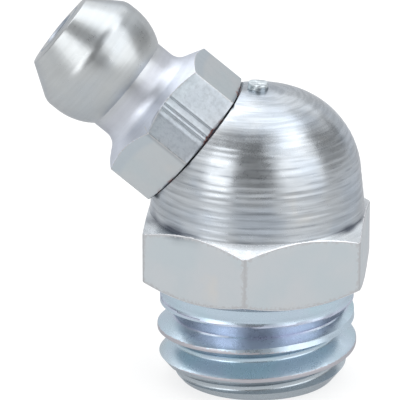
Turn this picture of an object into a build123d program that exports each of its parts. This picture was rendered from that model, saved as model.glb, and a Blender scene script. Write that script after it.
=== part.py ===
from build123d import *
from build123d.topology import SkipClean
import os
from math import ceil, cos, radians, sin, sqrt, tan

# An angled hydraulic grease nipple: a hexagon body with a domed top and a threaded
# shank, and a nipple head with its own small hexagon, set in a spot face on the dome.
#
# Frame: the origin is where the shank's axis meets the underside of the body's
# hexagon. Z runs up the shank's axis, and the head leans over towards -X, square
# to one flat of the hexagon. Lengths are in millimetres and angles in degrees.

# Threaded shank, M10 x 1.5 right hand
THREAD_MAJOR = 10.0
THREAD_PITCH = 1.5
THREAD_DEPTH_PER_PITCH = 0.6134
THREAD_FLANK_ANGLE = 30.0
SHANK_LENGTH = 5.25
RUNOUT_DIAMETER = 9.68
RUNOUT_LENGTH = 2.4
RUNOUT_TAPER = 0.4
RUNOUT_FADE_HEIGHT = -1.16
RUNOUT_FADE_ANGLE = 34.7
RELIEF_DIAMETER = 9.2
RELIEF_WIDTH = 0.25
END_CHAMFER_RADIAL = 1.1
END_CHAMFER_LENGTH = 1.38
THREAD_CREST_ANGLE = 180.0
THREAD_CREST_HEIGHT = -2.67
CREST_PATCHES = 12

# Body hexagon and dome
BODY_ACROSS_FLATS = 10.8
BODY_HEX_HEIGHT = 3.47
BODY_CORNER_RADIUS = 0.3
HEX_CHAMFER_ANGLE = 30.0
UNDERSIDE_DIAMETER = 10.7
UNDERSIDE_RECESS_DIAMETER = 10.2
UNDERSIDE_RECESS_DEPTH = 0.05
DOME_BASE_DIAMETER = 10.76
DOME_TAPER = 6.0
DOME_SHOULDER_RADIUS = 4.45
DOME_CROWN_RADIUS = 7.15
DOME_HEIGHT = 9.79
PIP_DIAMETER = 1.05
PIP_HEIGHT = 0.32
PIP_EDGE = 0.08

# Nipple head: where it sits on the body
ELBOW_ANGLE = 51.0
ELBOW_HEIGHT = 4.49
SEAT_DISTANCE = 3.9
SPOT_FACE_RADIUS = 4.1

# Nipple head: the hexagon, neck and coupling head, measured up from the seat
HEAD_ACROSS_FLATS = 6.7
HEAD_HEX_HEIGHT = 2.81
HEAD_CORNER_RADIUS = 0.12
HEAD_BASE_DIAMETER = 6.56
NECK_DIAMETER = 5.04
NECK_FILLET = 1.5
HEAD_DIAMETER = 6.32
HEAD_CENTRE = 6.43
HEAD_NOSE_LENGTH = 2.31
HEAD_LENGTH = HEAD_CENTRE + HEAD_NOSE_LENGTH
HEAD_CONE_ANGLE = 33.2
HEAD_BLEND = 1.5
FACE_EDGE_RADIUS = 0.1
FACE_DIAMETER = 4.11
FACE_CROWN = 0.08
FACE_LAND_DIAMETER = 2.4
EDGE_BREAK = 0.1

# Three draw marks along one flat of the head's hexagon
MARK_WIDTH = 0.12
MARK_DEPTH = 0.05
MARK_OFFSETS = (0.30, -0.20, -0.48)
MARK_FLAT_ANGLE = -60.0

# Nipple head: the shank in the body, and the valve bore
SPIGOT_DIAMETER = 5.0
SPIGOT_LENGTH = 3.3
SPIGOT_CHAMFER = 0.3
ORIFICE_DIAMETER = 1.6
ORIFICE_LENGTH = 0.5
SEAT_CONE_ANGLE = 45.0
BORE_DIAMETER = 2.8
REAR_LIP_BORE = 1.6
REAR_LIP_LENGTH = 0.4

# Check ball and its spring
BALL_DIAMETER = 2.4
BALL_GAP = 0.03
SPRING_WIRE = 0.3
SPRING_MEAN_DIAMETER = 2.1
SPRING_TURNS = 8
SPRING_GAP = 0.03

# Drilled passages in the body
SPIGOT_FIT_GAP = 0.02
SOCKET_EXTRA_DEPTH = 0.15
PASSAGE_DIAMETER = 3.2
PASSAGE_TOP = 5.3
PASSAGE_COUNTERSINK = 0.35
DRILL_POINT_ANGLE = 59.0

# Derived sizes
THREAD_DEPTH = THREAD_DEPTH_PER_PITCH * THREAD_PITCH
CREST_FLAT = THREAD_PITCH / 8
HEX_CORNER_FACTOR = 2 / sqrt(3)
OVERSIZE = 1.0
BLEND_SHARE = 0.95
GROOVE_OVERSHOOT = 0.05
DOME_EMBED = 0.06


def head_placement():
    """Place that puts the seat at Z = 0 and the head's axis along Z."""
    along = Location((0, 0, ELBOW_HEIGHT), (0, -ELBOW_ANGLE, 0))
    return along * Location((0, 0, SEAT_DISTANCE))


def turned(points):
    """Solid of revolution about Z from (radius, height) corners."""
    outline = Polyline(*[(radius, 0, height) for radius, height in points], close=True)
    return revolve(make_face(outline), Axis.Z)


def hex_bar(across_flats, corner_radius, bottom, top):
    """Hexagon bar with flats square to X and slightly rounded corners."""
    section = RegularPolygon(across_flats / 2, 6, major_radius=False, rotation=30)
    section = fillet(section.vertices(), corner_radius)
    return Pos(0, 0, bottom) * extrude(section, top - bottom)


def hex_envelope(across_flats, base_diameter, height):
    """Turned envelope that chamfers both ends of a hexagon at 30 degrees."""
    slope = tan(radians(HEX_CHAMFER_ANGLE))
    reach = across_flats / 2 * HEX_CORNER_FACTOR + OVERSIZE
    base_radius = base_diameter / 2
    points = [
        (0, 0),
        (base_radius, 0),
        (reach, (reach - base_radius) * slope),
        (reach, height - (reach - across_flats / 2) * slope),
        (0, height + across_flats / 2 * slope),
    ]
    return turned(points)


def shank_blank():
    """Turned blank of the shank, laid up in sectors. Fused without cleaning, they
    leave each turn of the thread's crest as a row of short cylindrical patches."""
    crest = THREAD_MAJOR / 2
    runout = RUNOUT_DIAMETER / 2
    relief = RELIEF_DIAMETER / 2
    points = [
        (0, -SHANK_LENGTH),
        (crest - END_CHAMFER_RADIAL, -SHANK_LENGTH),
        (crest, END_CHAMFER_LENGTH - SHANK_LENGTH),
        (crest, -RUNOUT_LENGTH),
        (runout, RUNOUT_TAPER - RUNOUT_LENGTH),
        (runout, -RELIEF_WIDTH),
        (relief, -RELIEF_WIDTH),
        (relief, OVERSIZE),
        (0, OVERSIZE),
    ]
    outline = make_face(Polyline(*[(radius, 0, height) for radius, height in points], close=True))
    step = 360 / CREST_PATCHES
    sectors = [Rot(0, 0, step * index) * revolve(outline, Axis.Z, step) for index in range(CREST_PATCHES)]
    return sectors[0].fuse(*sectors[1:])


def groove_turn():
    """One turn of the thread's groove: 60 degree flanks and a narrow flat root."""
    crest = THREAD_MAJOR / 2
    root = crest - THREAD_DEPTH
    outer = crest + GROOVE_OVERSHOOT
    flank = tan(radians(THREAD_FLANK_ANGLE))
    root_half_width = (THREAD_PITCH - CREST_FLAT) / 2 - THREAD_DEPTH * flank
    outer_half_width = root_half_width + (outer - root) * flank
    profile = Polyline(
        (root, 0, -root_half_width),
        (outer, 0, -outer_half_width),
        (outer, 0, outer_half_width),
        (root, 0, root_half_width),
        close=True,
    )
    path = Helix(THREAD_PITCH, THREAD_PITCH, root)
    return sweep(make_face(profile), path, is_frenet=True)


def runout_core():
    """Cone that the groove stays outside of, so that it gets shallower and ends."""
    root = THREAD_MAJOR / 2 - THREAD_DEPTH
    outer = THREAD_MAJOR / 2 + OVERSIZE
    slope = tan(radians(RUNOUT_FADE_ANGLE))
    foot = RUNOUT_FADE_HEIGHT - (RUNOUT_DIAMETER / 2 - root) / slope
    return turned([
        (0, foot - root / slope),
        (outer, foot + (outer - root) / slope),
        (outer, THREAD_PITCH + OVERSIZE),
        (0, THREAD_PITCH + OVERSIZE),
    ])


def threaded_shank():
    """Threaded shank, run out under the hexagon and parted from it by a shallow relief."""
    turn = groove_turn()
    core = runout_core()
    groove_height = THREAD_CREST_HEIGHT + THREAD_PITCH / 2
    turns_below = ceil((groove_height + SHANK_LENGTH) / THREAD_PITCH) + 1
    turns_above = ceil((RUNOUT_FADE_HEIGHT - groove_height) / THREAD_PITCH)
    with SkipClean():
        shank = shank_blank()
        for count in range(-turns_below, turns_above):
            height = groove_height + count * THREAD_PITCH
            groove = Pos(0, 0, height) * Rot(0, 0, THREAD_CREST_ANGLE) * turn
            shank = shank.cut(groove.cut(core))
    return shank


def dome():
    """Domed top: a slightly tapered skirt, a rounded shoulder and a flatter crown."""
    bottom = BODY_HEX_HEIGHT - DOME_EMBED
    base_radius = DOME_BASE_DIAMETER / 2
    crown_centre = DOME_HEIGHT - DOME_CROWN_RADIUS
    taper_sin = sin(radians(DOME_TAPER))
    taper_cos = cos(radians(DOME_TAPER))
    # The shoulder's centre lies one shoulder radius inside the skirt's line, and
    # the difference of the two radii away from the crown's centre.
    inset = base_radius * taper_cos + (bottom - crown_centre) * taper_sin - DOME_SHOULDER_RADIUS
    spacing = DOME_CROWN_RADIUS - DOME_SHOULDER_RADIUS
    along = sqrt(spacing**2 - inset**2)
    centre_x = inset * taper_cos - along * taper_sin
    centre_z = crown_centre + inset * taper_sin + along * taper_cos
    skirt_top = (centre_x + DOME_SHOULDER_RADIUS * taper_cos, centre_z + DOME_SHOULDER_RADIUS * taper_sin)
    reach = DOME_CROWN_RADIUS / spacing
    crown_edge = (centre_x * reach, crown_centre + (centre_z - crown_centre) * reach)
    apex = (0, DOME_HEIGHT)
    with BuildSketch(Plane.XZ) as section:
        with BuildLine():
            Line(apex, (0, bottom))
            Line((0, bottom), (base_radius, bottom))
            Line((base_radius, bottom), skirt_top)
            RadiusArc(skirt_top, crown_edge, -DOME_SHOULDER_RADIUS)
            RadiusArc(crown_edge, apex, -DOME_CROWN_RADIUS)
        make_face()
    return revolve(section.sketch, Axis.Z)


def turning_pip():
    """Small stub that parting off leaves at the top of the dome."""
    radius = PIP_DIAMETER / 2
    height = PIP_HEIGHT + DOME_EMBED
    stub = Pos(0, 0, DOME_HEIGHT - DOME_EMBED) * extrude(Circle(radius), height)
    return fillet(stub.edges().sort_by(Axis.Z)[-1], PIP_EDGE)


def body_passages():
    """Grease way up the shank, and the socket that takes the head's spigot."""
    passage_radius = PASSAGE_DIAMETER / 2
    point = passage_radius / tan(radians(DRILL_POINT_ANGLE))
    passage = turned([
        (0, -SHANK_LENGTH - OVERSIZE),
        (passage_radius + PASSAGE_COUNTERSINK + OVERSIZE, -SHANK_LENGTH - OVERSIZE),
        (passage_radius, PASSAGE_COUNTERSINK - SHANK_LENGTH),
        (passage_radius, PASSAGE_TOP),
        (0, PASSAGE_TOP + point),
    ])
    socket_radius = SPIGOT_DIAMETER / 2 + SPIGOT_FIT_GAP
    depth = SPIGOT_LENGTH + SOCKET_EXTRA_DEPTH
    socket = turned([
        (0, -depth - socket_radius / tan(radians(DRILL_POINT_ANGLE))),
        (socket_radius, -depth),
        (socket_radius, OVERSIZE),
        (0, OVERSIZE),
    ])
    return passage, head_placement() * socket


def elbow_body():
    """Hexagon, dome, pip, spot face, threaded shank and drilled passages."""
    bar = hex_bar(BODY_ACROSS_FLATS, BODY_CORNER_RADIUS, 0, BODY_HEX_HEIGHT + OVERSIZE)
    envelope = hex_envelope(BODY_ACROSS_FLATS, UNDERSIDE_DIAMETER, BODY_HEX_HEIGHT)
    top = (bar & envelope) + dome() + turning_pip()
    spot_face = head_placement() * extrude(Circle(SPOT_FACE_RADIUS), DOME_HEIGHT)
    recess = extrude(Circle(UNDERSIDE_RECESS_DIAMETER / 2), UNDERSIDE_RECESS_DEPTH)
    top = top - spot_face - recess
    shank = threaded_shank()
    with SkipClean():
        body = top.fuse(shank)
        for passage in body_passages():
            body = body.cut(passage)
    return body


def blend_that_fits(wanted, turn, *walls):
    """Radius for a corner that turns by that angle, limited by the shorter wall beside it."""
    return min(wanted, BLEND_SHARE * min(walls) / tan(radians(turn / 2)))


def head_outline():
    """Half section of the flare, neck and coupling head above the hexagon."""
    neck = NECK_DIAMETER / 2
    head = HEAD_DIAMETER / 2
    face = FACE_DIAMETER / 2
    land = FACE_LAND_DIAMETER / 2
    half_flats = HEAD_ACROSS_FLATS / 2
    flare_root = HEAD_HEX_HEIGHT + (half_flats - neck) * tan(radians(HEX_CHAMFER_ANGLE))
    back_height = HEAD_CENTRE - sqrt(head**2 - neck**2)
    cone_height = HEAD_LENGTH - (head - face) / tan(radians(HEAD_CONE_ANGLE))
    crown_height = HEAD_LENGTH + FACE_CROWN
    flare_length = (half_flats - neck) / cos(radians(HEX_CHAMFER_ANGLE))
    neck_blend = blend_that_fits(NECK_FILLET, 90 - HEX_CHAMFER_ANGLE, flare_length, back_height - flare_root)
    cone_length = (head - face) / sin(radians(HEAD_CONE_ANGLE))
    head_blend = blend_that_fits(HEAD_BLEND, HEAD_CONE_ANGLE, cone_length, cone_height - HEAD_CENTRE)
    with BuildSketch(Plane.XZ) as section:
        with BuildLine():
            Polyline((0, crown_height), (0, 0), (half_flats, 0), (half_flats, HEAD_HEX_HEIGHT))
            Polyline((half_flats, HEAD_HEX_HEIGHT), (neck, flare_root), (neck, back_height))
            RadiusArc((neck, back_height), (head, HEAD_CENTRE), -head)
            Polyline((head, HEAD_CENTRE), (head, cone_height), (face, HEAD_LENGTH))
            Polyline((face, HEAD_LENGTH), (land, crown_height), (0, crown_height))
        make_face()
        rounded = {
            (neck, flare_root): neck_blend,
            (head, cone_height): head_blend,
            (face, HEAD_LENGTH): FACE_EDGE_RADIUS,
        }
        for (radius, height), blend in rounded.items():
            corner = section.vertices().sort_by_distance((radius, height))[0]
            fillet(corner, blend)
    return section.sketch


def valve_bore():
    """Orifice, ball seat and spring bore, closed at the rear by a turned-in lip."""
    orifice = ORIFICE_DIAMETER / 2
    bore = BORE_DIAMETER / 2
    rear = REAR_LIP_BORE / 2
    seat_top = HEAD_LENGTH + FACE_CROWN - ORIFICE_LENGTH
    seat_bottom = seat_top - (bore - orifice) / tan(radians(SEAT_CONE_ANGLE))
    lip_top = REAR_LIP_LENGTH - SPIGOT_LENGTH
    return turned([
        (0, -SPIGOT_LENGTH - OVERSIZE),
        (rear, -SPIGOT_LENGTH - OVERSIZE),
        (rear, lip_top),
        (bore, lip_top),
        (bore, seat_bottom),
        (orifice, seat_top),
        (orifice, seat_top + ORIFICE_LENGTH - EDGE_BREAK),
        (orifice + EDGE_BREAK + OVERSIZE, seat_top + ORIFICE_LENGTH + OVERSIZE),
        (0, seat_top + ORIFICE_LENGTH + OVERSIZE),
    ])


def spigot():
    """Plain shank that holds the head in the body's socket."""
    radius = SPIGOT_DIAMETER / 2
    return turned([
        (0, -SPIGOT_LENGTH),
        (radius - SPIGOT_CHAMFER, -SPIGOT_LENGTH),
        (radius, SPIGOT_CHAMFER - SPIGOT_LENGTH),
        (radius, DOME_EMBED),
        (0, DOME_EMBED),
    ])


def draw_marks():
    """V-shaped draw marks that run the length of one flat of the head's hexagon."""
    half_flats = HEAD_ACROSS_FLATS / 2
    marks = []
    for offset in MARK_OFFSETS:
        groove = make_face(Polyline(
            (half_flats - MARK_DEPTH, offset),
            (half_flats, offset - MARK_WIDTH / 2),
            (half_flats + OVERSIZE, offset - MARK_WIDTH / 2),
            (half_flats + OVERSIZE, offset + MARK_WIDTH / 2),
            (half_flats, offset + MARK_WIDTH / 2),
            close=True,
        ))
        marks.append(Rot(0, 0, MARK_FLAT_ANGLE) * extrude(groove, HEAD_HEX_HEIGHT + OVERSIZE))
    return marks


def nipple_head():
    """Hexagon, flare, neck and coupling head on a spigot, bored for ball and spring."""
    bar = hex_bar(HEAD_ACROSS_FLATS, HEAD_CORNER_RADIUS, 0, HEAD_HEX_HEIGHT + OVERSIZE)
    bar = bar & hex_envelope(HEAD_ACROSS_FLATS, HEAD_BASE_DIAMETER, HEAD_HEX_HEIGHT)
    bar = bar - draw_marks()
    head = bar + revolve(head_outline(), Axis.Z) + spigot()
    return head_placement() * (head - valve_bore())


def ball_height():
    """Height of the ball's centre above the seat, a small gap off its conical seat."""
    cone = sin(radians(SEAT_CONE_ANGLE))
    seat_apex = HEAD_LENGTH + FACE_CROWN - ORIFICE_LENGTH
    seat_apex += ORIFICE_DIAMETER / 2 / tan(radians(SEAT_CONE_ANGLE))
    return seat_apex - (BALL_DIAMETER / 2 + BALL_GAP) / cone


def check_ball():
    """Hardened ball that closes the orifice."""
    return head_placement() * Pos(0, 0, ball_height()) * Sphere(BALL_DIAMETER / 2)


def valve_spring():
    """Helical compression spring between the rear lip and the ball."""
    wire = SPRING_WIRE / 2
    coil = SPRING_MEAN_DIAMETER / 2
    reach = BALL_DIAMETER / 2 + wire + SPRING_GAP
    top = ball_height() - sqrt(reach**2 - coil**2)
    bottom = REAR_LIP_LENGTH - SPIGOT_LENGTH + wire + SPRING_GAP
    path = Helix((top - bottom) / SPRING_TURNS, top - bottom, coil)
    section = Plane(origin=path @ 0, z_dir=path % 0) * Circle(wire)
    coils = sweep(section, path, is_frenet=True)
    return head_placement() * Pos(0, 0, bottom) * coils


def main():
    """Write each piece to its own file."""
    pieces = {
        "elbow_body": elbow_body(),
        "nipple_head": nipple_head(),
        "check_ball": check_ball(),
        "valve_spring": valve_spring(),
    }
    os.makedirs("parts", exist_ok=True)
    for name, piece in pieces.items():
        export_step(piece, f"parts/{name}.step")


main()
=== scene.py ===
import logging
from dataclasses import dataclass
from enum import Enum
from functools import partial
from math import cos, pi, radians, sin, sqrt, tan, tau

import bpy
import numpy as np
from bpy.types import Material, Mesh, Node, NodeSocket, NodeTree, Object
from mathutils import Matrix, Vector


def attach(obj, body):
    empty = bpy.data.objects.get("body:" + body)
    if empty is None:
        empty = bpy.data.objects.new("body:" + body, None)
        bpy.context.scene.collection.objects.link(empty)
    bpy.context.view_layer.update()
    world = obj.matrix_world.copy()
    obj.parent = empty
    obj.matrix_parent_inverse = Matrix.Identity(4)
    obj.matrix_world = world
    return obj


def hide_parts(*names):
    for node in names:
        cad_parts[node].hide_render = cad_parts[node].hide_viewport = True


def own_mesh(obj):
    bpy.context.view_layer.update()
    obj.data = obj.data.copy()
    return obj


# An angled grease nipple in bright zinc plate. Every mesh is made in millimetres in the
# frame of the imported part, +Z up the shank's axis, and scaled to metres as it is stored.
# FAR is past the reach of any wear, NEAR is how close a face lies to a surface that it is
# part of, and LEAST keeps a division from zero.

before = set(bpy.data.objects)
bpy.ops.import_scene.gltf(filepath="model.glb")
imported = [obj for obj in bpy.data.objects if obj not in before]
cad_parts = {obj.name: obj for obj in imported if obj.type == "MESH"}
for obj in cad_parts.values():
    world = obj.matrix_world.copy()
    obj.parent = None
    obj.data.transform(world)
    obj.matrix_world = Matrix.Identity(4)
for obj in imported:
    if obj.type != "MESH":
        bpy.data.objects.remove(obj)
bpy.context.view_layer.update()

LOG = logging.getLogger("grease_nipple")
MM = 0.001
SHARP_ANGLE = radians(28)
FAR = 9.0
NEAR = 0.02
LEAST = 1e-9

Array = np.ndarray
Color = tuple[float, float, float, float]


class CarveAction(Enum):
    """Ways to combine two closed forms."""

    JOIN = "UNION"
    CUT = "DIFFERENCE"
    KEEP_COMMON = "INTERSECT"


class Body(Enum):
    """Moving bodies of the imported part."""

    FITTING = "fitting"
    BALL = "ball"


class Finish(Enum):
    """Surfaces of the plated steel, each with a material of its own."""

    TURNED = 0
    FLAT = 1
    DRAWN = 2
    CHAMFER = 3
    THREAD = 4
    BORE = 5


# ---------------- mesh helpers


def stored_object(name: str, points: Array, faces: list[tuple[int, ...]]) -> Object:
    """Store points and faces as a linked mesh object.

    Args:
        name: Name of the object and its mesh.
        points: Corner positions in millimetres, one row each.
        faces: Corner numbers of each face.

    Returns:
        The object, placed at the origin.
    """
    mesh = bpy.data.meshes.new(name)
    mesh.from_pydata((np.asarray(points, float) * MM).tolist(), [], faces)
    made = bpy.data.objects.new(name, mesh)
    bpy.context.scene.collection.objects.link(made)
    return made


def sleeve_faces(columns: int, rows: int, ring: bool = False) -> list[tuple[int, ...]]:
    """Quads of a grid wrapped round an axis, column by column.

    Args:
        columns: Number of columns round the axis.
        rows: Number of rows along the outline.
        ring: Whether the last row joins the first one.

    Returns:
        Corner numbers, with outward faces where the outline climbs the outside.
    """
    column = np.arange(columns)[:, None]
    row = np.arange(rows if ring else rows - 1)[None, :]
    after = (column + 1) % columns
    above = (row + 1) % rows
    quads = np.stack(
        [column * rows + row, after * rows + row, after * rows + above, column * rows + above], axis=-1
    )
    return [tuple(quad) for quad in quads.reshape(-1, 4).tolist()]


def wrapped_solid(name: str, grid: Array, ring: bool = False) -> Object:
    """Closed solid from a grid of points wrapped round an axis.

    Args:
        name: Name of the object.
        grid: Positions of shape (columns, rows, 3). Unless the outline is a ring, its
            first and last rows are closed by one point each, at their mean.
        ring: Whether the outline closes on itself.

    Returns:
        The solid.
    """
    columns, rows = grid.shape[:2]
    faces = sleeve_faces(columns, rows, ring)
    points = grid.reshape(-1, 3)
    if not ring:
        foot = columns * rows
        top = foot + 1
        points = np.vstack([points, grid[:, 0].mean(0), grid[:, -1].mean(0)])
        for index in range(columns):
            after = (index + 1) % columns
            faces.append((foot, after * rows, index * rows))
            faces.append((index * rows + rows - 1, after * rows + rows - 1, top))
    return stored_object(name, points, faces)


def turned_grid(outline: Array, angles: Array) -> Array:
    """Grid of points that turns (radius, height) outlines about +Z.

    Args:
        outline: Radius and height of each row, the same for all columns or for each.
        angles: Angle of each column, in radians.

    Returns:
        Positions of shape (columns, rows, 3).
    """
    radius, height = outline[..., 0], outline[..., 1]
    across = np.cos(angles)[:, None] * radius
    aside = np.sin(angles)[:, None] * radius
    return np.stack([across, aside, np.broadcast_to(height, across.shape)], axis=-1)


def even_angles(count: int) -> Array:
    """Evenly spaced angles round one turn."""
    return np.arange(count) * tau / count


def filled_path(corners: list[tuple[float, float]], step: float) -> Array:
    """Points along straight runs, no further apart than a step.

    Args:
        corners: Radius and height of each corner.
        step: Longest distance between neighbours.

    Returns:
        Radius and height of each point.
    """
    path = [np.array(corners[:1], float)]
    for start, end in zip(corners, corners[1:]):
        count = max(1, int(np.ceil(np.hypot(end[0] - start[0], end[1] - start[1]) / step)))
        share = np.arange(1, count + 1)[:, None] / count
        path.append(np.array(start) + (np.array(end) - np.array(start)) * share)
    return np.vstack(path)


def arc_path(centre: tuple[float, float], radius: float, start: float, end: float, step: float) -> Array:
    """Points along an arc, from one angle to another in radians.

    Args:
        centre: Centre of the arc.
        radius: Radius of the arc.
        start: Angle of the first point.
        end: Angle of the last point.
        step: Longest distance between neighbours.

    Returns:
        Radius and height of each point.
    """
    count = max(2, int(np.ceil(abs(end - start) * radius / step)))
    angle = np.linspace(start, end, count + 1)
    return np.stack([centre[0] + radius * np.cos(angle), centre[1] + radius * np.sin(angle)], axis=-1)


def rounded_rows(
    corners: Array, radii: list[float], counts: list[int], arc_steps: int = 4
) -> Array:
    """Round the inner corners of many outlines that have the same number of corners.

    Args:
        corners: Positions of shape (columns, corners, 2).
        radii: Radius wanted at each inner corner, limited by the runs beside it.
        counts: Number of steps along each straight run.
        arc_steps: Number of steps along each rounded corner.

    Returns:
        Positions of shape (columns, rows, 2).
    """
    inner = corners.shape[1] - 2
    entry, leave, arcs = [corners[:, 0]], [], []
    for index in range(inner):
        here = corners[:, index + 1]
        back = corners[:, index] - here
        ahead = corners[:, index + 2] - here
        back_length = np.linalg.norm(back, axis=1)
        ahead_length = np.linalg.norm(ahead, axis=1)
        back_way = back / back_length[:, None]
        ahead_way = ahead / ahead_length[:, None]
        half = np.arccos(np.clip((back_way * ahead_way).sum(1), -1, 1)) / 2
        reach = np.minimum(radii[index] / np.tan(half), 0.45 * np.minimum(back_length, ahead_length))
        radius = reach * np.tan(half)
        middle = back_way + ahead_way
        middle /= np.maximum(np.linalg.norm(middle, axis=1), LEAST)[:, None]
        centre = here + middle * (radius / np.sin(half))[:, None]
        first = here + back_way * reach[:, None]
        last = here + ahead_way * reach[:, None]
        sweep = np.maximum(pi - 2 * half, 1e-6)
        arc = []
        for share in np.linspace(0, 1, arc_steps + 1):
            start_weight = np.sin((1 - share) * sweep) / np.sin(sweep)
            end_weight = np.sin(share * sweep) / np.sin(sweep)
            from_first = (first - centre) * start_weight[:, None]
            from_last = (last - centre) * end_weight[:, None]
            arc.append(centre + from_first + from_last)
        leave.append(first)
        entry.append(last)
        arcs.append(np.stack(arc, axis=1))
    leave.append(corners[:, -1])
    rows = [corners[:, :1]]
    for index, count in enumerate(counts):
        share = np.arange(1, count + 1)[None, :, None] / count
        run = entry[index][:, None] + (leave[index] - entry[index])[:, None] * share
        rows.append(run)
        if index < inner:
            rows.append(arcs[index][:, 1:])
    return np.concatenate(rows, axis=1)


def outline_normals(outline: Array) -> Array:
    """Unit normals of a (radius, height) outline, to the right of its run.

    Args:
        outline: Radius and height of each point.

    Returns:
        One normal for each point.
    """
    along = np.gradient(outline, axis=0)
    along /= np.maximum(np.linalg.norm(along, axis=1), LEAST)[:, None]
    return np.stack([along[:, 1], -along[:, 0]], axis=-1)


def run_length(outline: Array) -> Array:
    """Length along an outline at each of its points."""
    steps = np.linalg.norm(np.diff(outline, axis=0), axis=1)
    return np.concatenate([[0], np.cumsum(steps)])


def corner_rings(rings: list[tuple], columns: int) -> Array:
    """Corners of every column's outline, from rings of one or of each column's radius and height."""
    spread = [[np.broadcast_to(part, columns) for part in ring] for ring in rings]
    return np.stack([np.stack(ring, axis=-1) for ring in spread], axis=1)


def polar(points: Array) -> tuple[Array, Array]:
    """Radius and angle about +Z of each point."""
    return np.hypot(points[:, 0], points[:, 1]), np.arctan2(points[:, 1], points[:, 0])


def ramp_up(value: Array, start: float, width: float) -> Array:
    """Straight climb from 0 at a start to 1 a width further on."""
    return np.clip((value - start) / width, 0, 1)


def faded_ends(length: Array, first: float, last: float) -> Array:
    """Share that climbs from 0 at both ends of an outline to 1, over a length at each."""
    return np.clip(length / first, 0, 1) * np.clip((length.max() - length) / last, 0, 1)


def carve(stock: Object, tool: Object, action: CarveAction) -> None:
    """Combine two closed solids and remove the tool.

    Args:
        stock: Solid that keeps the result.
        tool: Solid that is used up.
        action: How the two are combined.
    """
    modifier = stock.modifiers.new("carve", "BOOLEAN")
    modifier.operation = action.value
    modifier.solver = "MANIFOLD"
    modifier.object = tool
    evaluated = stock.evaluated_get(bpy.context.evaluated_depsgraph_get())
    carved = bpy.data.meshes.new_from_object(evaluated)
    stock.modifiers.clear()
    stock.data = carved
    bpy.data.objects.remove(tool)


def vectors(items: bpy.types.bpy_prop_collection, name: str) -> Array:
    """Vector of every vertex or face, as stored.

    Args:
        items: Vertices or faces of a mesh.
        name: Name of their vector.

    Returns:
        Values of shape (items, 3).
    """
    flat = np.empty(len(items) * 3, np.float32)
    items.foreach_get(name, flat)
    return flat.reshape(-1, 3).astype(float)


def smooth_with_sharp_edges(mesh: Mesh) -> None:
    """Shade a mesh smooth, with its sharp edges kept."""
    mesh.shade_smooth()
    mesh.set_sharp_from_angle(angle=SHARP_ANGLE)


def store_values(mesh: Mesh, values: dict[str, Array]) -> None:
    """Store numbers per vertex as mesh attributes.

    Args:
        mesh: Mesh that gets them.
        values: Values of each named attribute.
    """
    for name, numbers in values.items():
        attribute = mesh.attributes.new(name, "FLOAT", "POINT")
        attribute.data.foreach_set("value", numbers.astype(np.float32))


def from_flat_middle(angle: Array) -> Array:
    """Angle from the middle of a hexagon's nearest flat, in radians, up to pi / 6."""
    return np.abs((angle + pi / 6) % (pi / 3) - pi / 6)


def dress_faces(mesh: Mesh, kinds: Array, finishes: dict[Finish, Material]) -> None:
    """Give every face the material of its surface.

    Args:
        mesh: Mesh that is dressed.
        kinds: Finish value of each face.
        finishes: Material of each finish that the mesh uses.
    """
    mesh.materials.clear()
    slots = np.zeros(len(kinds), np.int32)
    for slot, (finish, material) in enumerate(finishes.items()):
        mesh.materials.append(material)
        slots[kinds == finish.value] = slot
    mesh.polygons.foreach_set("material_index", slots)


class Wander:
    """Smooth random numbers over an angle and a length, the same on each run."""

    def __init__(self, seed: int, waves: int = 14, length_scale: float = 1.0, turns: int = 6) -> None:
        """Draw the waves.

        Args:
            seed: Seed of the random draws.
            waves: Number of sine waves that are added up.
            length_scale: Shortest wave along the length.
            turns: Most waves that fit round one turn.
        """
        draws = np.random.default_rng(seed)
        self.turns = draws.integers(-turns, turns + 1, waves)
        self.rate = draws.uniform(0.1, 1.0, waves) * tau / length_scale
        self.phase = draws.uniform(0, tau, waves)
        self.weight = draws.uniform(0.5, 1.0, waves)

    def at(self, angle: Array, length: Array) -> Array:
        """Value from about -1 to 1 at each angle and length.

        Args:
            angle: Angles, in radians.
            length: Lengths, in a shape that goes with them.

        Returns:
            The values.
        """
        total = np.zeros(np.broadcast(angle, length).shape)
        for turns, rate, phase, weight in zip(self.turns, self.rate, self.phase, self.weight):
            total += weight * np.sin(turns * angle + rate * length + phase)
        return total / sqrt((self.weight**2).sum() * 2)


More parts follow.
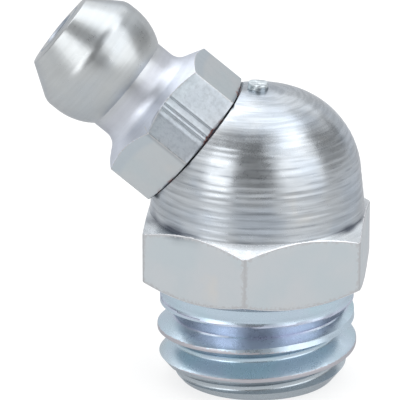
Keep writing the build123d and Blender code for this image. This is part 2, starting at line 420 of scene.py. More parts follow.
@dataclass(frozen=True)
class TurningMarks:
    """Spiral scallops that a turning tool leaves, with a torn line between neighbours.

    Attributes:
        feed: Distance between neighbouring scallops, in millimetres.
        depth: Depth of a common scallop, in millimetres.
        tear: Depth of a common torn line, in millimetres.
        seed: Seed of their unevenness.
        sharpness: How narrow the torn lines are.
    """

    feed: float
    depth: float
    tear: float
    seed: int
    sharpness: float = 3.0

    def phase(self, length: Array, angle: Array) -> Array:
        """Count of scallops passed at each length and angle, slightly uneven."""
        drift = Wander(self.seed, length_scale=3.2 * self.feed, turns=1).at(angle, length)
        return length / self.feed + angle / tau + 0.2 * drift

    def torn(self, length: Array, angle: Array) -> Array:
        """Strength of the torn line at each length and angle, from 0 to about 1.4.

        Args:
            length: Length along the outline.
            angle: Angle about the axis.

        Returns:
            The strengths.
        """
        phase = self.phase(length, angle)
        line = (1 - np.abs(np.sin(pi * phase))) ** self.sharpness
        own = 0.75 + 0.25 * np.sin(np.floor(phase + 0.5) * 12.9898 + self.seed)
        wander = Wander(self.seed + 1, waves=30, length_scale=self.feed, turns=24)
        return line * own * np.clip(0.45 + 1.2 * wander.at(angle, length), 0.0, 1.4)

    def lift(self, length: Array, angle: Array, fall: Array | float = 0.5) -> Array:
        """Height above the plain surface, never more than zero.

        Args:
            length: Length along the outline.
            angle: Angle about the axis, in a shape that goes with it.
            fall: Share of each scallop over which the surface falls.

        Returns:
            Heights in millimetres.
        """
        phase = self.phase(length, angle)
        place = phase - np.floor(phase)
        down = np.clip(place / fall, 0, 1)
        up = np.clip((place - fall) / (1 - fall), 0, 1)
        scallop = (np.cos(pi * up) - np.cos(pi * down)) / 2
        own = 0.7 + 0.3 * np.sin(np.floor(phase) * 7.233 + self.seed)
        uneven = Wander(self.seed + 2, waves=24, length_scale=2 * self.feed, turns=9).at(angle, length)
        own = own * np.clip(0.9 + 0.5 * uneven, 0.35, 1.5)
        return -self.depth * scallop * own - self.tear * self.torn(length, angle)


@dataclass(frozen=True)
class HexSection:
    """Section of a hexagon bar with its flats square to X and rounded corners.

    Attributes:
        across_flats: Distance between opposite flats.
        corner_radius: Radius of the corners.
        flat_steps: Steps across each flat.
        corner_steps: Steps round each corner.
    """

    across_flats: float
    corner_radius: float
    flat_steps: int
    corner_steps: int

    def points(self, reliefs: dict[int, list[tuple[float, float]]]) -> Array:
        """Points round the section, counter-clockwise.

        Args:
            reliefs: For a flat's number, the depth of its surface below the flat at
                positions across it, as (position, depth) in rising order.

        Returns:
            Positions of shape (columns, 2).
        """
        half = self.across_flats / 2
        reach = (half - self.corner_radius) * tan(pi / 6)
        centre = (half - self.corner_radius) / cos(pi / 6)
        columns = []
        for flat in range(6):
            facing = flat * pi / 3
            outward = np.array([cos(facing), sin(facing)])
            across = np.array([-sin(facing), cos(facing)])
            places = np.linspace(-reach, reach, self.flat_steps + 1)
            depth = np.zeros_like(places)
            if flat in reliefs:
                known = np.array(reliefs[flat])
                places = np.unique(np.concatenate([places, known[:, 0]]).round(4))
                depth = np.interp(places, known[:, 0], known[:, 1], left=0, right=0)
            columns.append((half - depth)[:, None] * outward + places[:, None] * across)
            corner = centre * np.array([cos(facing + pi / 6), sin(facing + pi / 6)])
            swing = facing + np.arange(1, self.corner_steps) / self.corner_steps * pi / 3
            around = np.stack([np.cos(swing), np.sin(swing)], axis=-1)
            columns.append(corner + self.corner_radius * around)
        return np.vstack(columns)


@dataclass(frozen=True)
class HeadAxis:
    """Where the nipple head sits on the body, and which way it leans.

    Attributes:
        lean: Angle from the shank's axis towards -X, in degrees.
        height: Height at which the two axes cross.
        seat: Distance from that crossing to the head's seat.
    """

    lean: float = 51.0
    height: float = 4.49
    seat: float = 3.9

    def direction(self) -> Array:
        """Unit vector along the head's axis, away from the body."""
        return np.array([-sin(radians(self.lean)), 0, cos(radians(self.lean))])

    def point(self, distance: float) -> Array:
        """Point on the axis at a distance up from the seat, in millimetres."""
        return np.array([0, 0, self.height]) + self.direction() * (self.seat + distance)

    def turn(self) -> Array:
        """Rotation from the head's own frame to the part's."""
        lean = radians(self.lean)
        return np.array([[cos(lean), 0, -sin(lean)], [0, 1, 0], [sin(lean), 0, cos(lean)]])

    def place(self, points: Array) -> Array:
        """Move points from the head's own frame, Z up from the seat, to the part's frame."""
        return points @ self.turn().T + self.point(0)

    def unplace(self, points: Array) -> Array:
        """Move points from the part's frame to the head's own frame."""
        return (points - self.point(0)) @ self.turn()


# ---------------- shader helpers


class Bench:
    """Adds and links nodes in one shader tree."""

    def __init__(self, tree: NodeTree) -> None:
        """Work on a tree."""
        self.tree = tree

    def node(self, kind: str, **settings: object) -> Node:
        """Add a node of a kind, with its settings.

        Args:
            kind: Blender's name of the kind.
            settings: Values of its properties.

        Returns:
            The node.
        """
        made = self.tree.nodes.new(kind)
        for name, value in settings.items():
            setattr(made, name, value)
        return made

    def feed(self, socket: NodeSocket, value: object) -> None:
        """Link a socket to another, or set its own value.

        Args:
            socket: Socket that is fed.
            value: Socket or plain value that feeds it.
        """
        if isinstance(value, NodeSocket):
            self.tree.links.new(value, socket)
        else:
            socket.default_value = value

    def give(self, node: Node, **values: object) -> None:
        """Feed named inputs of a node, with underscores in their names read as spaces."""
        for name, value in values.items():
            self.feed(node.inputs[name.replace("_", " ")], value)

    def math(
        self, operation: str, first: object, second: object = 0.0, clamp: bool = False
    ) -> NodeSocket:
        """Result of a two-value calculation.

        Args:
            operation: Name of the calculation.
            first: First value.
            second: Second value.
            clamp: Whether the result stays between 0 and 1.

        Returns:
            The result.
        """
        made = self.node("ShaderNodeMath", operation=operation, use_clamp=clamp)
        self.feed(made.inputs[0], first)
        self.feed(made.inputs[1], second)
        return made.outputs[0]

    def ramp(
        self,
        value: object,
        low: float,
        high: float,
        to_low: object = 0.0,
        to_high: object = 1.0,
        course: str = "SMOOTHSTEP",
    ) -> NodeSocket:
        """Step between two values.

        Args:
            value: Value that is read.
            low: Value at which the step starts.
            high: Value at which it ends.
            to_low: Result below the step.
            to_high: Result above it.
            course: How the result goes from one to the other.

        Returns:
            The stepped value.
        """
        made = self.node("ShaderNodeMapRange", interpolation_type=course)
        for place, given in enumerate((value, low, high, to_low, to_high)):
            self.feed(made.inputs[place], given)
        return made.outputs[0]

    def blend(self, share: object, first: object, second: object) -> NodeSocket:
        """Colour between two colours.

        Args:
            share: Share of the second colour.
            first: First colour.
            second: Second colour.

        Returns:
            The colour.
        """
        made = self.node("ShaderNodeMix", data_type="RGBA")
        self.feed(made.inputs[0], share)
        self.feed(made.inputs[6], first)
        self.feed(made.inputs[7], second)
        return made.outputs[2]

    def vector(self, operation: str, first: object, second: object) -> NodeSocket:
        """Result of a calculation with two vectors.

        Args:
            operation: Name of the calculation.
            first: First vector.
            second: Second vector.

        Returns:
            The resulting vector.
        """
        made = self.node("ShaderNodeVectorMath", operation=operation)
        self.feed(made.inputs[0], first)
        self.feed(made.inputs[1], second)
        return made.outputs[0]

    def stored(self, name: str) -> NodeSocket:
        """Value that the mesh stores under a name."""
        return self.node("ShaderNodeAttribute", attribute_name=name).outputs["Fac"]

    def noise(
        self, vector: object, scale: object, detail: float = 2.0, roughness: float = 0.5
    ) -> NodeSocket:
        """Three-dimensional noise.

        Args:
            vector: Place at which it is read.
            scale: Rate of its largest waves.
            detail: Number of finer waves.
            roughness: Strength of the finer waves.

        Returns:
            Value about 0.5.
        """
        made = self.node("ShaderNodeTexNoise")
        self.give(made, Vector=vector, Scale=scale, Detail=detail, Roughness=roughness)
        return made.outputs[0]

    def group(self, tree: NodeTree, **inputs: object) -> Node:
        """Place a node group.

        Args:
            tree: The group.
            inputs: What feeds its inputs.

        Returns:
            The node.
        """
        made = self.node("ShaderNodeGroup")
        made.node_tree = tree
        self.give(made, **inputs)
        return made


def new_group(
    name: str, inputs: dict[str, str], outputs: dict[str, str]
) -> tuple[Bench, Node, Node]:
    """Start a shader node group.

    Args:
        name: Name of the group.
        inputs: Kind of socket for each named input.
        outputs: Kind of socket for each named output.

    Returns:
        A bench on the group's tree, its input node and its output node.
    """
    tree = bpy.data.node_groups.new(name, "ShaderNodeTree")
    for title, kind in inputs.items():
        tree.interface.new_socket(title, in_out="INPUT", socket_type="NodeSocket" + kind)
    for title, kind in outputs.items():
        tree.interface.new_socket(title, in_out="OUTPUT", socket_type="NodeSocket" + kind)
    bench = Bench(tree)
    return bench, bench.node("NodeGroupInput"), bench.node("NodeGroupOutput")


class Effects:
    """Node groups shared by the materials, built once."""

    def __init__(self) -> None:
        """Build every group."""
        self.turned_frame = self._turned_frame()
        self.turning_grain = self._turning_grain()
        self.zinc_bloom = self._zinc_bloom()
        self.plate_tooth = self._plate_tooth()
        self.edge_wear_and_shade_mask = self._edge_wear_and_shade_mask()
        self.seam_grime = self._seam_grime()

    def _turned_frame(self) -> NodeTree:
        """Radius, height and direction about an axis, from object coordinates.

        Returns:
            The group.
        """
        bench, given, result = new_group(
            "turned_frame",
            {"Vector": "Vector", "Origin": "Vector", "Lean": "Float"},
            {"Local": "Vector", "Radius": "Float", "Height": "Float"},
        )
        shift = bench.vector("SUBTRACT", given.outputs["Vector"], given.outputs["Origin"])
        turn = bench.node("ShaderNodeVectorRotate", rotation_type="Y_AXIS")
        bench.give(turn, Vector=shift, Angle=given.outputs["Lean"])
        local = bench.node("ShaderNodeVectorMath", operation="SCALE")
        bench.feed(local.inputs[0], turn.outputs[0])
        bench.feed(local.inputs["Scale"], 1 / MM)
        parts = bench.node("ShaderNodeSeparateXYZ")
        bench.feed(parts.inputs[0], local.outputs[0])
        across = bench.math("MULTIPLY", parts.outputs[0], parts.outputs[0])
        aside = bench.math("MULTIPLY", parts.outputs[1], parts.outputs[1])
        radius = bench.math("SQRT", bench.math("ADD", across, aside))
        bench.give(result, Local=local.outputs[0], Radius=radius, Height=parts.outputs[2])
        return bench.tree

    def _turning_grain(self) -> NodeTree:
        """Fine rings round an axis, long round it and narrow along it.

        Returns:
            The group.
        """
        bench, given, result = new_group(
            "turning_grain",
            {"Local": "Vector", "Radius": "Float", "Height": "Float", "Fineness": "Float"},
            {"Fine": "Float", "Broad": "Float"},
        )
        parts = bench.node("ShaderNodeSeparateXYZ")
        bench.feed(parts.inputs[0], given.outputs["Local"])
        radius = bench.math("MAXIMUM", given.outputs["Radius"], 0.05)
        across = bench.math("DIVIDE", parts.outputs[0], radius)
        aside = bench.math("DIVIDE", parts.outputs[1], radius)
        for title, share, detail in (("Fine", 1.0, 2.0), ("Broad", 0.4, 1.0)):
            rate = bench.math("MULTIPLY", given.outputs["Fineness"], share)
            place = bench.node("ShaderNodeCombineXYZ")
            bench.feed(place.inputs[0], bench.math("MULTIPLY", given.outputs["Radius"], rate))
            bench.feed(place.inputs[1], bench.math("MULTIPLY", given.outputs["Height"], rate))
            bench.feed(place.inputs[2], bench.math("MULTIPLY", across, 1.6))
            rings = bench.node("ShaderNodeTexNoise", noise_dimensions="4D")
            fourth = bench.math("MULTIPLY", aside, 1.6)
            bench.give(rings, Vector=place.outputs[0], W=fourth, Scale=1.0, Detail=detail)
            bench.feed(result.inputs[title], rings.outputs[0])
        return bench.tree

    def _zinc_bloom(self) -> NodeTree:
        """Slow drift of the passivate's tint over the plate.

        Returns:
            The group.
        """
        bench, given, result = new_group(
            "zinc_bloom",
            {"Local": "Vector", "Scale": "Float", "Clear": "Color", "Cool": "Color", "Warm": "Color"},
            {"Color": "Color"},
        )
        slow = bench.noise(given.outputs["Local"], given.outputs["Scale"], 3.0, 0.55)
        cool = bench.ramp(slow, 0.42, 0.66)
        warm = bench.ramp(slow, 0.40, 0.24)
        tinted = bench.blend(cool, given.outputs["Clear"], given.outputs["Cool"])
        bench.feed(result.inputs["Color"], bench.blend(warm, tinted, given.outputs["Warm"]))
        return bench.tree

    def _plate_tooth(self) -> NodeTree:
        """Fine crystals of the plate, as a height and a roughness.

        Returns:
            The group.
        """
        bench, given, result = new_group(
            "plate_tooth",
            {"Local": "Vector", "Scale": "Float", "Smooth": "Float", "Rough": "Float"},
            {"Height": "Float", "Roughness": "Float", "Mottle": "Float"},
        )
        local = given.outputs["Local"]
        fine = bench.noise(local, given.outputs["Scale"], 4.0, 0.65)
        patch = bench.noise(local, 2.3, 3.0, 0.6)
        both = bench.math("ADD", fine, patch)
        smooth, rough = given.outputs["Smooth"], given.outputs["Rough"]
        level = bench.ramp(both, 0.75, 1.25, smooth, rough, "LINEAR")
        coarser = bench.math("MULTIPLY", given.outputs["Scale"], 0.45)
        spots = bench.noise(local, coarser, 4.0, 0.7)
        bench.give(result, Height=fine, Roughness=level, Mottle=bench.ramp(spots, 0.30, 0.62))
        return bench.tree

    def _edge_wear_and_shade_mask(self) -> NodeTree:
        """Mask of the band along an edge, broken up by noise: wear, and painted shade on the hexagon's
        rounded corners.

        Returns:
            The group.
        """
        bench, given, result = new_group(
            "edge_wear_and_shade_mask",
            {"Local": "Vector", "Distance": "Float", "Width": "Float"},
            {"Mask": "Float"},
        )
        patch = bench.noise(given.outputs["Local"], 6.0, 3.0, 0.6)
        uneven = bench.ramp(patch, 0.35, 0.65, 0.3, 1.3)
        width = bench.math("MULTIPLY", given.outputs["Width"], uneven)
        share = bench.math("DIVIDE", given.outputs["Distance"], width)
        bench.feed(result.inputs["Mask"], bench.ramp(share, 1.0, 0.3))
        return bench.tree

    def _seam_grime(self) -> NodeTree:
        """Dark grime and a little rust where the head meets its spot face.

        Returns:
            The group.
        """
        bench, given, result = new_group(
            "seam_grime",
            {"Local": "Vector", "Radius": "Float", "Height": "Float", "Seat": "Float", "Reach": "Float"},
            {"Grime": "Float", "Rust": "Float"},
        )
        local = given.outputs["Local"]
        patch = bench.noise(local, 1.1, 3.0, 0.6)
        uneven = bench.ramp(patch, 0.3, 0.7, 0.5, 1.4)
        reach = bench.math("MULTIPLY", given.outputs["Reach"], uneven)
        outward = bench.math("SUBTRACT", given.outputs["Radius"], given.outputs["Seat"])
        level = given.outputs["Height"]
        along = bench.math("MULTIPLY", outward, outward)
        above = bench.math("MULTIPLY", level, level)
        away = bench.math("SQRT", bench.math("ADD", along, above))
        share = bench.math("DIVIDE", away, reach)
        grime_and_shade = bench.ramp(share, 1.0, 0.35)
        spots = bench.noise(local, 0.8, 2.0, 0.5)
        rusted = bench.ramp(spots, 0.42, 0.56)
        rust = bench.math("MULTIPLY", rusted, bench.ramp(share, 1.7, 0.8))
        bench.give(result, Grime=grime_and_shade, Rust=rust)
        return bench.tree


def linear(red: float, green: float, blue: float) -> Color:
    """Linear colour with full alpha, from linear parts."""
    return (red, green, blue, 1.0)


def scene_metres(point: tuple[float, ...] | Array) -> tuple[float, ...]:
    """A place in metres, from millimetres."""
    return tuple(MM * value for value in point)


def blank_material(title: str) -> tuple[Material, Bench]:
    """Material without nodes, with a bench on its tree.

    Args:
        title: Name of the material.

    Returns:
        The material and its bench.
    """
    material = bpy.data.materials.new(title)
    material.use_nodes = True
    material.node_tree.nodes.clear()
    return material, Bench(material.node_tree)


def show_surface(bench: Bench, shader: NodeSocket) -> None:
    """Make a shader the surface of a bench's material."""
    output = bench.node("ShaderNodeOutputMaterial")
    bench.give(output, Surface=shader)


@dataclass(frozen=True)
class Plating:
    """Bright zinc plate on a cut, turned or rolled steel surface.

    Attributes:
        title: Name of the material.
        clear: Colour of the plate.
        cool: Colour where the passivate is thick.
        warm: Colour where it is thin.
        bloom_scale: Rate of the tint's drift, per millimetre.
        smooth: Lowest roughness.
        rough: Highest roughness.
        anisotropy: Stretch of highlights across the turning marks.
        grazing: Tint of reflections at a grazing angle.
        grain_depth: Height of the fine turning rings, in millimetres.
        broad_depth: Height of the broad turning rings, in millimetres.
        tooth_depth: Height of the plate's crystals, in millimetres.
        tooth_scale: Rate of the crystals, per millimetre.
        streak: Darkening by the turning rings, from 0 to 1.
        rim_width: Width of the band along edges that takes the edge colour, in millimetres.
        origin: Start of the turning axis, in millimetres.
        lean: Lean of that axis towards -X, in degrees.
        grime_reach: Reach of the grime from the edge of the head's seat, in millimetres.
        seat_radius: Radius of that edge.
        bare: Colour of the band along edges: worn metal, and on the hexagon's rounded corners a painted
            shade.
        grime_and_shade: Colour of the seam's grime, and of the painted shade in the torn lines, the draw
            marks and the dome's corner.
        rust: Colour of the rust.
        fineness: Rate of the turning rings, per millimetre.
        groove_shade: Painted shade in the torn lines and draw marks, from 0 to 1.
        painted_darkening_strength: Strength of the painted shade in the corner between chamfer and dome, and
            of the darker strip beside the draw marks, from 0 to 1.
        worn_roughness: Roughness added in the band along edges and where the seam is grimy or rusty.
        calm: How much smoother the plate is where the turning is fine, from 0 to 1.
        mottle: Darkening in patches, from 0 to 1.
        run_out: Colour where the thread runs out.
        end_grey: Colour of the shank's end.
    """

    title: str
    clear: Color
    cool: Color
    warm: Color
    bloom_scale: float = 0.35
    smooth: float = 0.2
    rough: float = 0.3
    anisotropy: float = 0.0
    grazing: Color = (0.72, 0.73, 0.75, 1.0)
    grain_depth: float = 0.0
    broad_depth: float = 0.0
    tooth_depth: float = 0.001
    tooth_scale: float = 14.0
    streak: float = 0.0
    rim_width: float = 0.1
    origin: tuple[float, float, float] = (0.0, 0.0, 0.0)
    lean: float = 0.0
    grime_reach: float = 0.11
    seat_radius: float = 3.32
    bare: Color = (0.60, 0.60, 0.61, 1.0)
    grime_and_shade: Color = (0.08, 0.092, 0.118, 1.0)
    rust: Color = (0.16, 0.035, 0.015, 1.0)
    fineness: float = 14.0
    groove_shade: float = 0.0
    painted_darkening_strength: float = 0.95
    worn_roughness: float = 0.15
    calm: float = 0.0
    mottle: float = 0.0
    run_out: Color = (0.49, 0.53, 0.65, 1.0)
    end_grey: Color = (0.45, 0.50, 0.54, 1.0)

    def across_marks(self, bench: Bench, place: NodeSocket) -> NodeSocket:
        """Direction in the surface that crosses the turning marks.

        Args:
            bench: Bench on the material's tree.
            place: Object coordinates.

        Returns:
            The direction.
        """
        lean = radians(self.lean)
        out = bench.vector("SUBTRACT", place, scene_metres(self.origin))
        around = bench.vector("CROSS_PRODUCT", (-sin(lean), 0.0, cos(lean)), out)
        normal = bench.node("ShaderNodeNewGeometry").outputs["Normal"]
        unit = bench.node("ShaderNodeVectorMath", operation="NORMALIZE")
        bench.feed(unit.inputs[0], bench.vector("CROSS_PRODUCT", normal, around))
        return unit.outputs[0]

    def build(self, effects: Effects, axis: HeadAxis) -> Material:
        """Make the material.

        Args:
            effects: Shared node groups.
            axis: Axis of the nipple head, whose seat collects the grime.

        Returns:
            The material.
        """
        material, bench = blank_material(self.title)
        place = bench.node("ShaderNodeTexCoord").outputs["Object"]
        own = bench.group(
            effects.turned_frame,
            Vector=place,
            Origin=scene_metres(self.origin),
            Lean=radians(self.lean),
        )
        seat = bench.group(
            effects.turned_frame,
            Vector=place,
            Origin=scene_metres(axis.point(0)),
            Lean=radians(axis.lean),
        )
        local = own.outputs["Local"]
        grain = bench.group(
            effects.turning_grain,
            Local=local,
            Radius=own.outputs["Radius"],
            Height=own.outputs["Height"],
            Fineness=self.fineness,
        )
        bloom = bench.group(
            effects.zinc_bloom,
            Local=local,
            Scale=self.bloom_scale,
            Clear=self.clear,
            Cool=self.cool,
            Warm=self.warm,
        )
        tooth = bench.group(
            effects.plate_tooth, Local=local, Scale=self.tooth_scale, Smooth=self.smooth, Rough=self.rough
        )
        edge = bench.stored("edge_distance")
        rim = bench.group(effects.edge_wear_and_shade_mask, Local=local, Distance=edge, Width=self.rim_width)
        seam = bench.group(
            effects.seam_grime,
            Local=seat.outputs["Local"],
            Radius=seat.outputs["Radius"],
            Height=seat.outputs["Height"],
            Seat=self.seat_radius,
            Reach=self.grime_reach,
        )
        edge_wear_and_shade_share = rim.outputs["Mask"]
        streaks = bench.ramp(grain.outputs["Broad"], 0.35, 0.65, 1.0 - self.streak, 1.0)
        patches = bench.ramp(tooth.outputs["Mottle"], 0.0, 1.0, 1.0 - self.mottle, 1.0)
        dimming = bench.math("MULTIPLY", streaks, patches)
        dimmed = bench.node("ShaderNodeMix", data_type="RGBA", blend_type="MULTIPLY")
        bench.feed(dimmed.inputs[0], 1.0)
        shade = bench.node("ShaderNodeCombineColor")
        for socket in shade.inputs:
            bench.feed(socket, dimming)
        plate = bench.blend(bench.stored("run_out"), bloom.outputs["Color"], self.run_out)
        bench.feed(dimmed.inputs[6], bench.blend(bench.stored("end_grey"), plate, self.end_grey))
        bench.feed(dimmed.inputs[7], shade.outputs[0])
        # Painted shade: the torn lines and the draw marks are darkened towards the dark colour.
        lines = bench.math("MULTIPLY", bench.stored("torn_line"), self.groove_shade)
        # Painted shade in the corner between chamfer and dome, and a darker strip beside the head's draw
        # marks.
        corner = bench.math("MULTIPLY", bench.stored("painted_darkening"), self.painted_darkening_strength)
        deep = bench.math("ADD", lines, corner, clamp=True)
        lined = bench.blend(deep, dimmed.outputs[2], self.grime_and_shade)
        # The band along edges takes the edge colour: wear, and painted shade on the hexagon's rounded
        # corners.
        worn = bench.blend(edge_wear_and_shade_share, lined, self.bare)
        rusty = bench.blend(seam.outputs["Rust"], worn, self.rust)
        colour = bench.blend(seam.outputs["Grime"], rusty, self.grime_and_shade)
        dull = bench.math("MAXIMUM", seam.outputs["Grime"], seam.outputs["Rust"])
        fine = bench.math("MULTIPLY", grain.outputs["Fine"], self.grain_depth * MM)
        broad = bench.math("MULTIPLY", grain.outputs["Broad"], self.broad_depth * MM)
        crystals = bench.math("MULTIPLY", tooth.outputs["Height"], self.tooth_depth * MM)
        height = bench.math("ADD", bench.math("ADD", fine, broad), crystals)
        bump = bench.node("ShaderNodeBump")
        bench.give(bump, Distance=1.0, Height=height)
        shader = bench.node("ShaderNodeBsdfPrincipled")
        calmed = bench.ramp(bench.stored("coarse"), 0.1, 1.0, 1.0 - self.calm, 1.0)
        rough = bench.math("MULTIPLY", tooth.outputs["Roughness"], calmed)
        added = bench.math("MULTIPLY", bench.math("MAXIMUM", dull, edge_wear_and_shade_share), self.worn_roughness)
        bench.give(
            shader,
            Anisotropic=self.anisotropy,
            Specular_Tint=self.grazing,
            Base_Color=colour,
            Metallic=bench.math("SUBTRACT", 1.0, dull),
            Roughness=bench.math("ADD", rough, added, clamp=True),
            Normal=bump.outputs[0],
        )
        if self.anisotropy:
            bench.give(shader, Tangent=self.across_marks(bench, place))
        show_surface(bench, shader.outputs[0])
        return material


# ---------------- the body


@dataclass(frozen=True)
class ElbowBody:
    """Turned body: hexagon, dome with its pip, spot face, threaded shank and grease way.

    Lengths are in millimetres and angles in radians. Radii are from the shank's axis, and
    heights from the hexagon's underside.

    Attributes:
        core: Radius at which a form's ends are closed.
        dome_embed: How far the dome's skirt starts below the hexagon's top.
        marks_middle: Share of the dome's length at which half of the marks are left.
        fade_height: Height at which the run-out's cone has the run-out's radius.
        lip_height: Height of the lip that the thread's end leaves, with a dip above it.
        worn_crest: Angles between which the first crest is worn, down to worn_depth.
        past_end: How far the grease way's drill stands past the shank's end.
        drill_shank: Height of the socket's drill over the spot face.
        overcut: How far the envelope clears the thread's crests.
        corner_loss: How far the rounded corners stay short of sharp ones.
        shaded_corners: Middle and half width in degrees, and reach, of each stretch of painted shade in the
            corner.
    """

    axis: HeadAxis
    core: float = 0.3
    section: HexSection = HexSection(10.8, 0.3, 26, 8)
    hex_height: float = 3.47
    chamfer: float = radians(30)
    underside_radius: float = 5.35
    recess_radius: float = 5.1
    recess_depth: float = 0.05
    edge_round: float = 0.07
    dome_base_radius: float = 5.38
    dome_embed: float = 0.06
    dome_taper: float = radians(6)
    shoulder_radius: float = 4.45
    crown_radius: float = 7.15
    dome_height: float = 9.79
    dome_step: float = 0.032
    crown_step: float = 0.07
    brow_share: float = 0.75
    plain_ends: float = 0.15
    lowest_marks: float = 0.06
    marks_middle: float = 0.50
    marks_spread: float = 0.05
    fine_share: float = 0.35
    sway: float = 0.0035
    marks: TurningMarks = TurningMarks(0.36, 0.017, 0.0015, 3)
    fine_marks: TurningMarks = TurningMarks(0.15, 0.0012, 0.0006, 8)
    pip_radius: float = 0.525
    pip_height: float = 0.32
    pip_edge: float = 0.05
    pip_step: float = 0.035
    spot_face_radius: float = 4.1
    thread_radius: float = 5.0
    pitch: float = 1.5
    thread_depth: float = 0.9201
    crest_half: float = 0.09375
    crest_angle: float = pi
    crest_height: float = -2.67
    crest_round: float = 0.03
    root_round: float = 0.12
    thread_columns: int = 216
    thread_wave: float = 0.004
    shank_length: float = 5.25
    chamfer_radial: float = 1.1
    chamfer_length: float = 1.38
    runout_radius: float = 4.84
    runout_length: float = 2.4
    runout_taper: float = 0.4
    runout_inset: float = 0.012
    fade_height: float = -1.0
    fade_angle: float = radians(34.7)
    lip_height: float = -1.02
    lip_width: float = 0.12
    lip_rise: float = 0.042
    dip_height: float = -0.78
    dip_depth: float = 0.035
    worn_crest: tuple[float, float] = (radians(240), radians(358))
    worn_depth: float = -1.65
    worn_blend: float = 0.4
    relief_radius: float = 4.6
    relief_width: float = 0.12
    relief_reach: float = 0.06
    passage_radius: float = 1.6
    passage_top: float = 5.3
    countersink: float = 0.35
    socket_radius: float = 2.52
    socket_depth: float = 3.45
    drill_point: float = radians(59)
    drill_tip: float = 0.02
    drill_shank: float = 2.0
    past_end: float = 1.0
    cutter_height: float = 8.0
    tool_core: float = 0.1
    tool_step: float = 0.6
    tool_columns: int = 96
    spot_face_step: float = 0.9
    spot_face_columns: int = 128
    overlap: float = 0.6
    overcut: float = 0.06
    corner_loss: float = 0.045
    grey_height: float = -3.75
    grey_blend: float = 0.3
    shaded_corners: tuple[tuple[float, float, float], ...] = (
        (-22, 20, 0.17),
        (-140, 27, 0.4),
        (48, 18, 0.17),
        (101, 25, 0.17),
        (160, 15, 0.17),
    )

    def dome_outline(self) -> Array:
        """Radius and height along the dome, from the hexagon's chamfer up to the pip.

        Returns:
            Positions of shape (rows, 2).
        """
        bottom = self.hex_height - self.dome_embed
        crown_centre = self.dome_height - self.crown_radius
        lean_sin, lean_cos = sin(self.dome_taper), cos(self.dome_taper)
        inset = self.dome_base_radius * lean_cos + (bottom - crown_centre) * lean_sin - self.shoulder_radius
        spacing = self.crown_radius - self.shoulder_radius
        along = sqrt(spacing**2 - inset**2)
        centre = (inset * lean_cos - along * lean_sin, crown_centre + inset * lean_sin + along * lean_cos)
        skirt_top = (centre[0] + self.shoulder_radius * lean_cos, centre[1] + self.shoulder_radius * lean_sin)
        crown_start = np.arctan2(centre[1] - crown_centre, centre[0])
        pip_angle = np.arccos(self.pip_radius / self.crown_radius)
        foot = self.chamfer_top()
        middle = self.dome_taper + self.brow_share * (crown_start - self.dome_taper)
        skirt = filled_path([foot, skirt_top], self.dome_step)
        shoulder = arc_path(centre, self.shoulder_radius, self.dome_taper, middle, self.dome_step)
        brow = arc_path(centre, self.shoulder_radius, middle, crown_start, self.crown_step)
        crown = arc_path((0, crown_centre), self.crown_radius, crown_start, pip_angle, self.crown_step)
        return np.vstack([skirt, shoulder[1:], brow[1:], crown[1:]])

    def marks_fade(self, length: Array, total: float) -> Array:
        """Share of the full turning marks left at each length up the dome."""
        past = (length - self.marks_middle * total) / (self.marks_spread * total)
        return self.lowest_marks + (1 - self.lowest_marks) / (1 + np.exp(past))

    def chamfer_top(self) -> tuple[float, float]:
        """Radius and height where the hexagon's top chamfer meets the dome.

        Returns:
            Radius and height.
        """
        slope, lean = tan(self.chamfer), tan(self.dome_taper)
        half = self.section.across_flats / 2
        bottom = self.hex_height - self.dome_embed
        # On the chamfer z = hex_height + (half - r) * slope, and on the skirt
        # r = dome_base_radius - (z - bottom) * lean.
        above = self.hex_height + half * slope - bottom
        radius = (self.dome_base_radius - above * lean) / (1 - slope * lean)
        return radius, self.hex_height + (half - radius) * slope

    def pip_rows(self) -> Array:
        """Radius and height up the turning pip and in to its middle.

        Returns:
            Positions of shape (rows, 2).
        """
        foot = self.dome_height - self.crown_radius + sqrt(self.crown_radius**2 - self.pip_radius**2)
        top = self.dome_height + self.pip_height
        inner = self.pip_radius - self.pip_edge
        start = (self.pip_radius, foot + 0.01)
        edge = (self.pip_radius, top - self.pip_edge)
        wall = filled_path([start, edge, (inner, top)], self.pip_step)
        lid = filled_path([(inner, top), (0.04, top)], 0.06)
        return np.vstack([wall, lid[1:]])

    def pip_stub(self, turn: Array) -> Array:
        """Pip with the uneven sides and top of metal that was torn off.

        Args:
            turn: Angle of each column, of shape (columns, 1).

        Returns:
            Radius and height, of shape (columns, rows, 2).
        """
        rows = self.pip_rows()
        stub = np.broadcast_to(rows, (len(turn), *rows.shape)).copy()
        share = ramp_up(stub[..., 1], self.dome_height, self.pip_height)
        along = np.arange(len(rows))[None] * self.pip_step
        torn = Wander(31, waves=20, length_scale=0.16, turns=9).at(turn, along)
        bulge = Wander(32, waves=9, length_scale=0.5, turns=3).at(turn, along)
        inner = stub[..., 0] / self.pip_radius
        swell = 0.003 * torn + 0.022 * bulge - 0.03 * share
        stub[..., 0] += swell * np.clip(share * 3, 0, 1) * inner
        stub[..., 1] += (0.004 * torn + 0.025 * bulge - 0.03) * share
        return stub

    def upper_form(self) -> Object:
        """Hexagon, chamfers, dome and pip as one closed solid.

        Returns:
            The solid.
        """
        reach, angles = polar(self.section.points({}))
        slope = tan(self.chamfer)
        low = (reach - self.underside_radius) * slope
        high = self.hex_height - (reach - self.section.across_flats / 2) * slope
        corners = corner_rings(
            [
                (self.core, self.recess_depth),
                (self.recess_radius, self.recess_depth),
                (self.recess_radius, 0.0),
                (self.underside_radius, 0.0),
                (reach, low),
                (reach, high),
                self.chamfer_top(),
            ],
            len(reach),
        )
        rounds = [0.01, 0.01, 0.03, self.edge_round, self.edge_round]
        base = rounded_rows(corners, rounds, [4, 1, 2, 5, 12, 14])
        outline = self.dome_outline()
        normal = outline_normals(outline)
        length = run_length(outline)
        turn = angles[:, None]
        span = length[None, :]
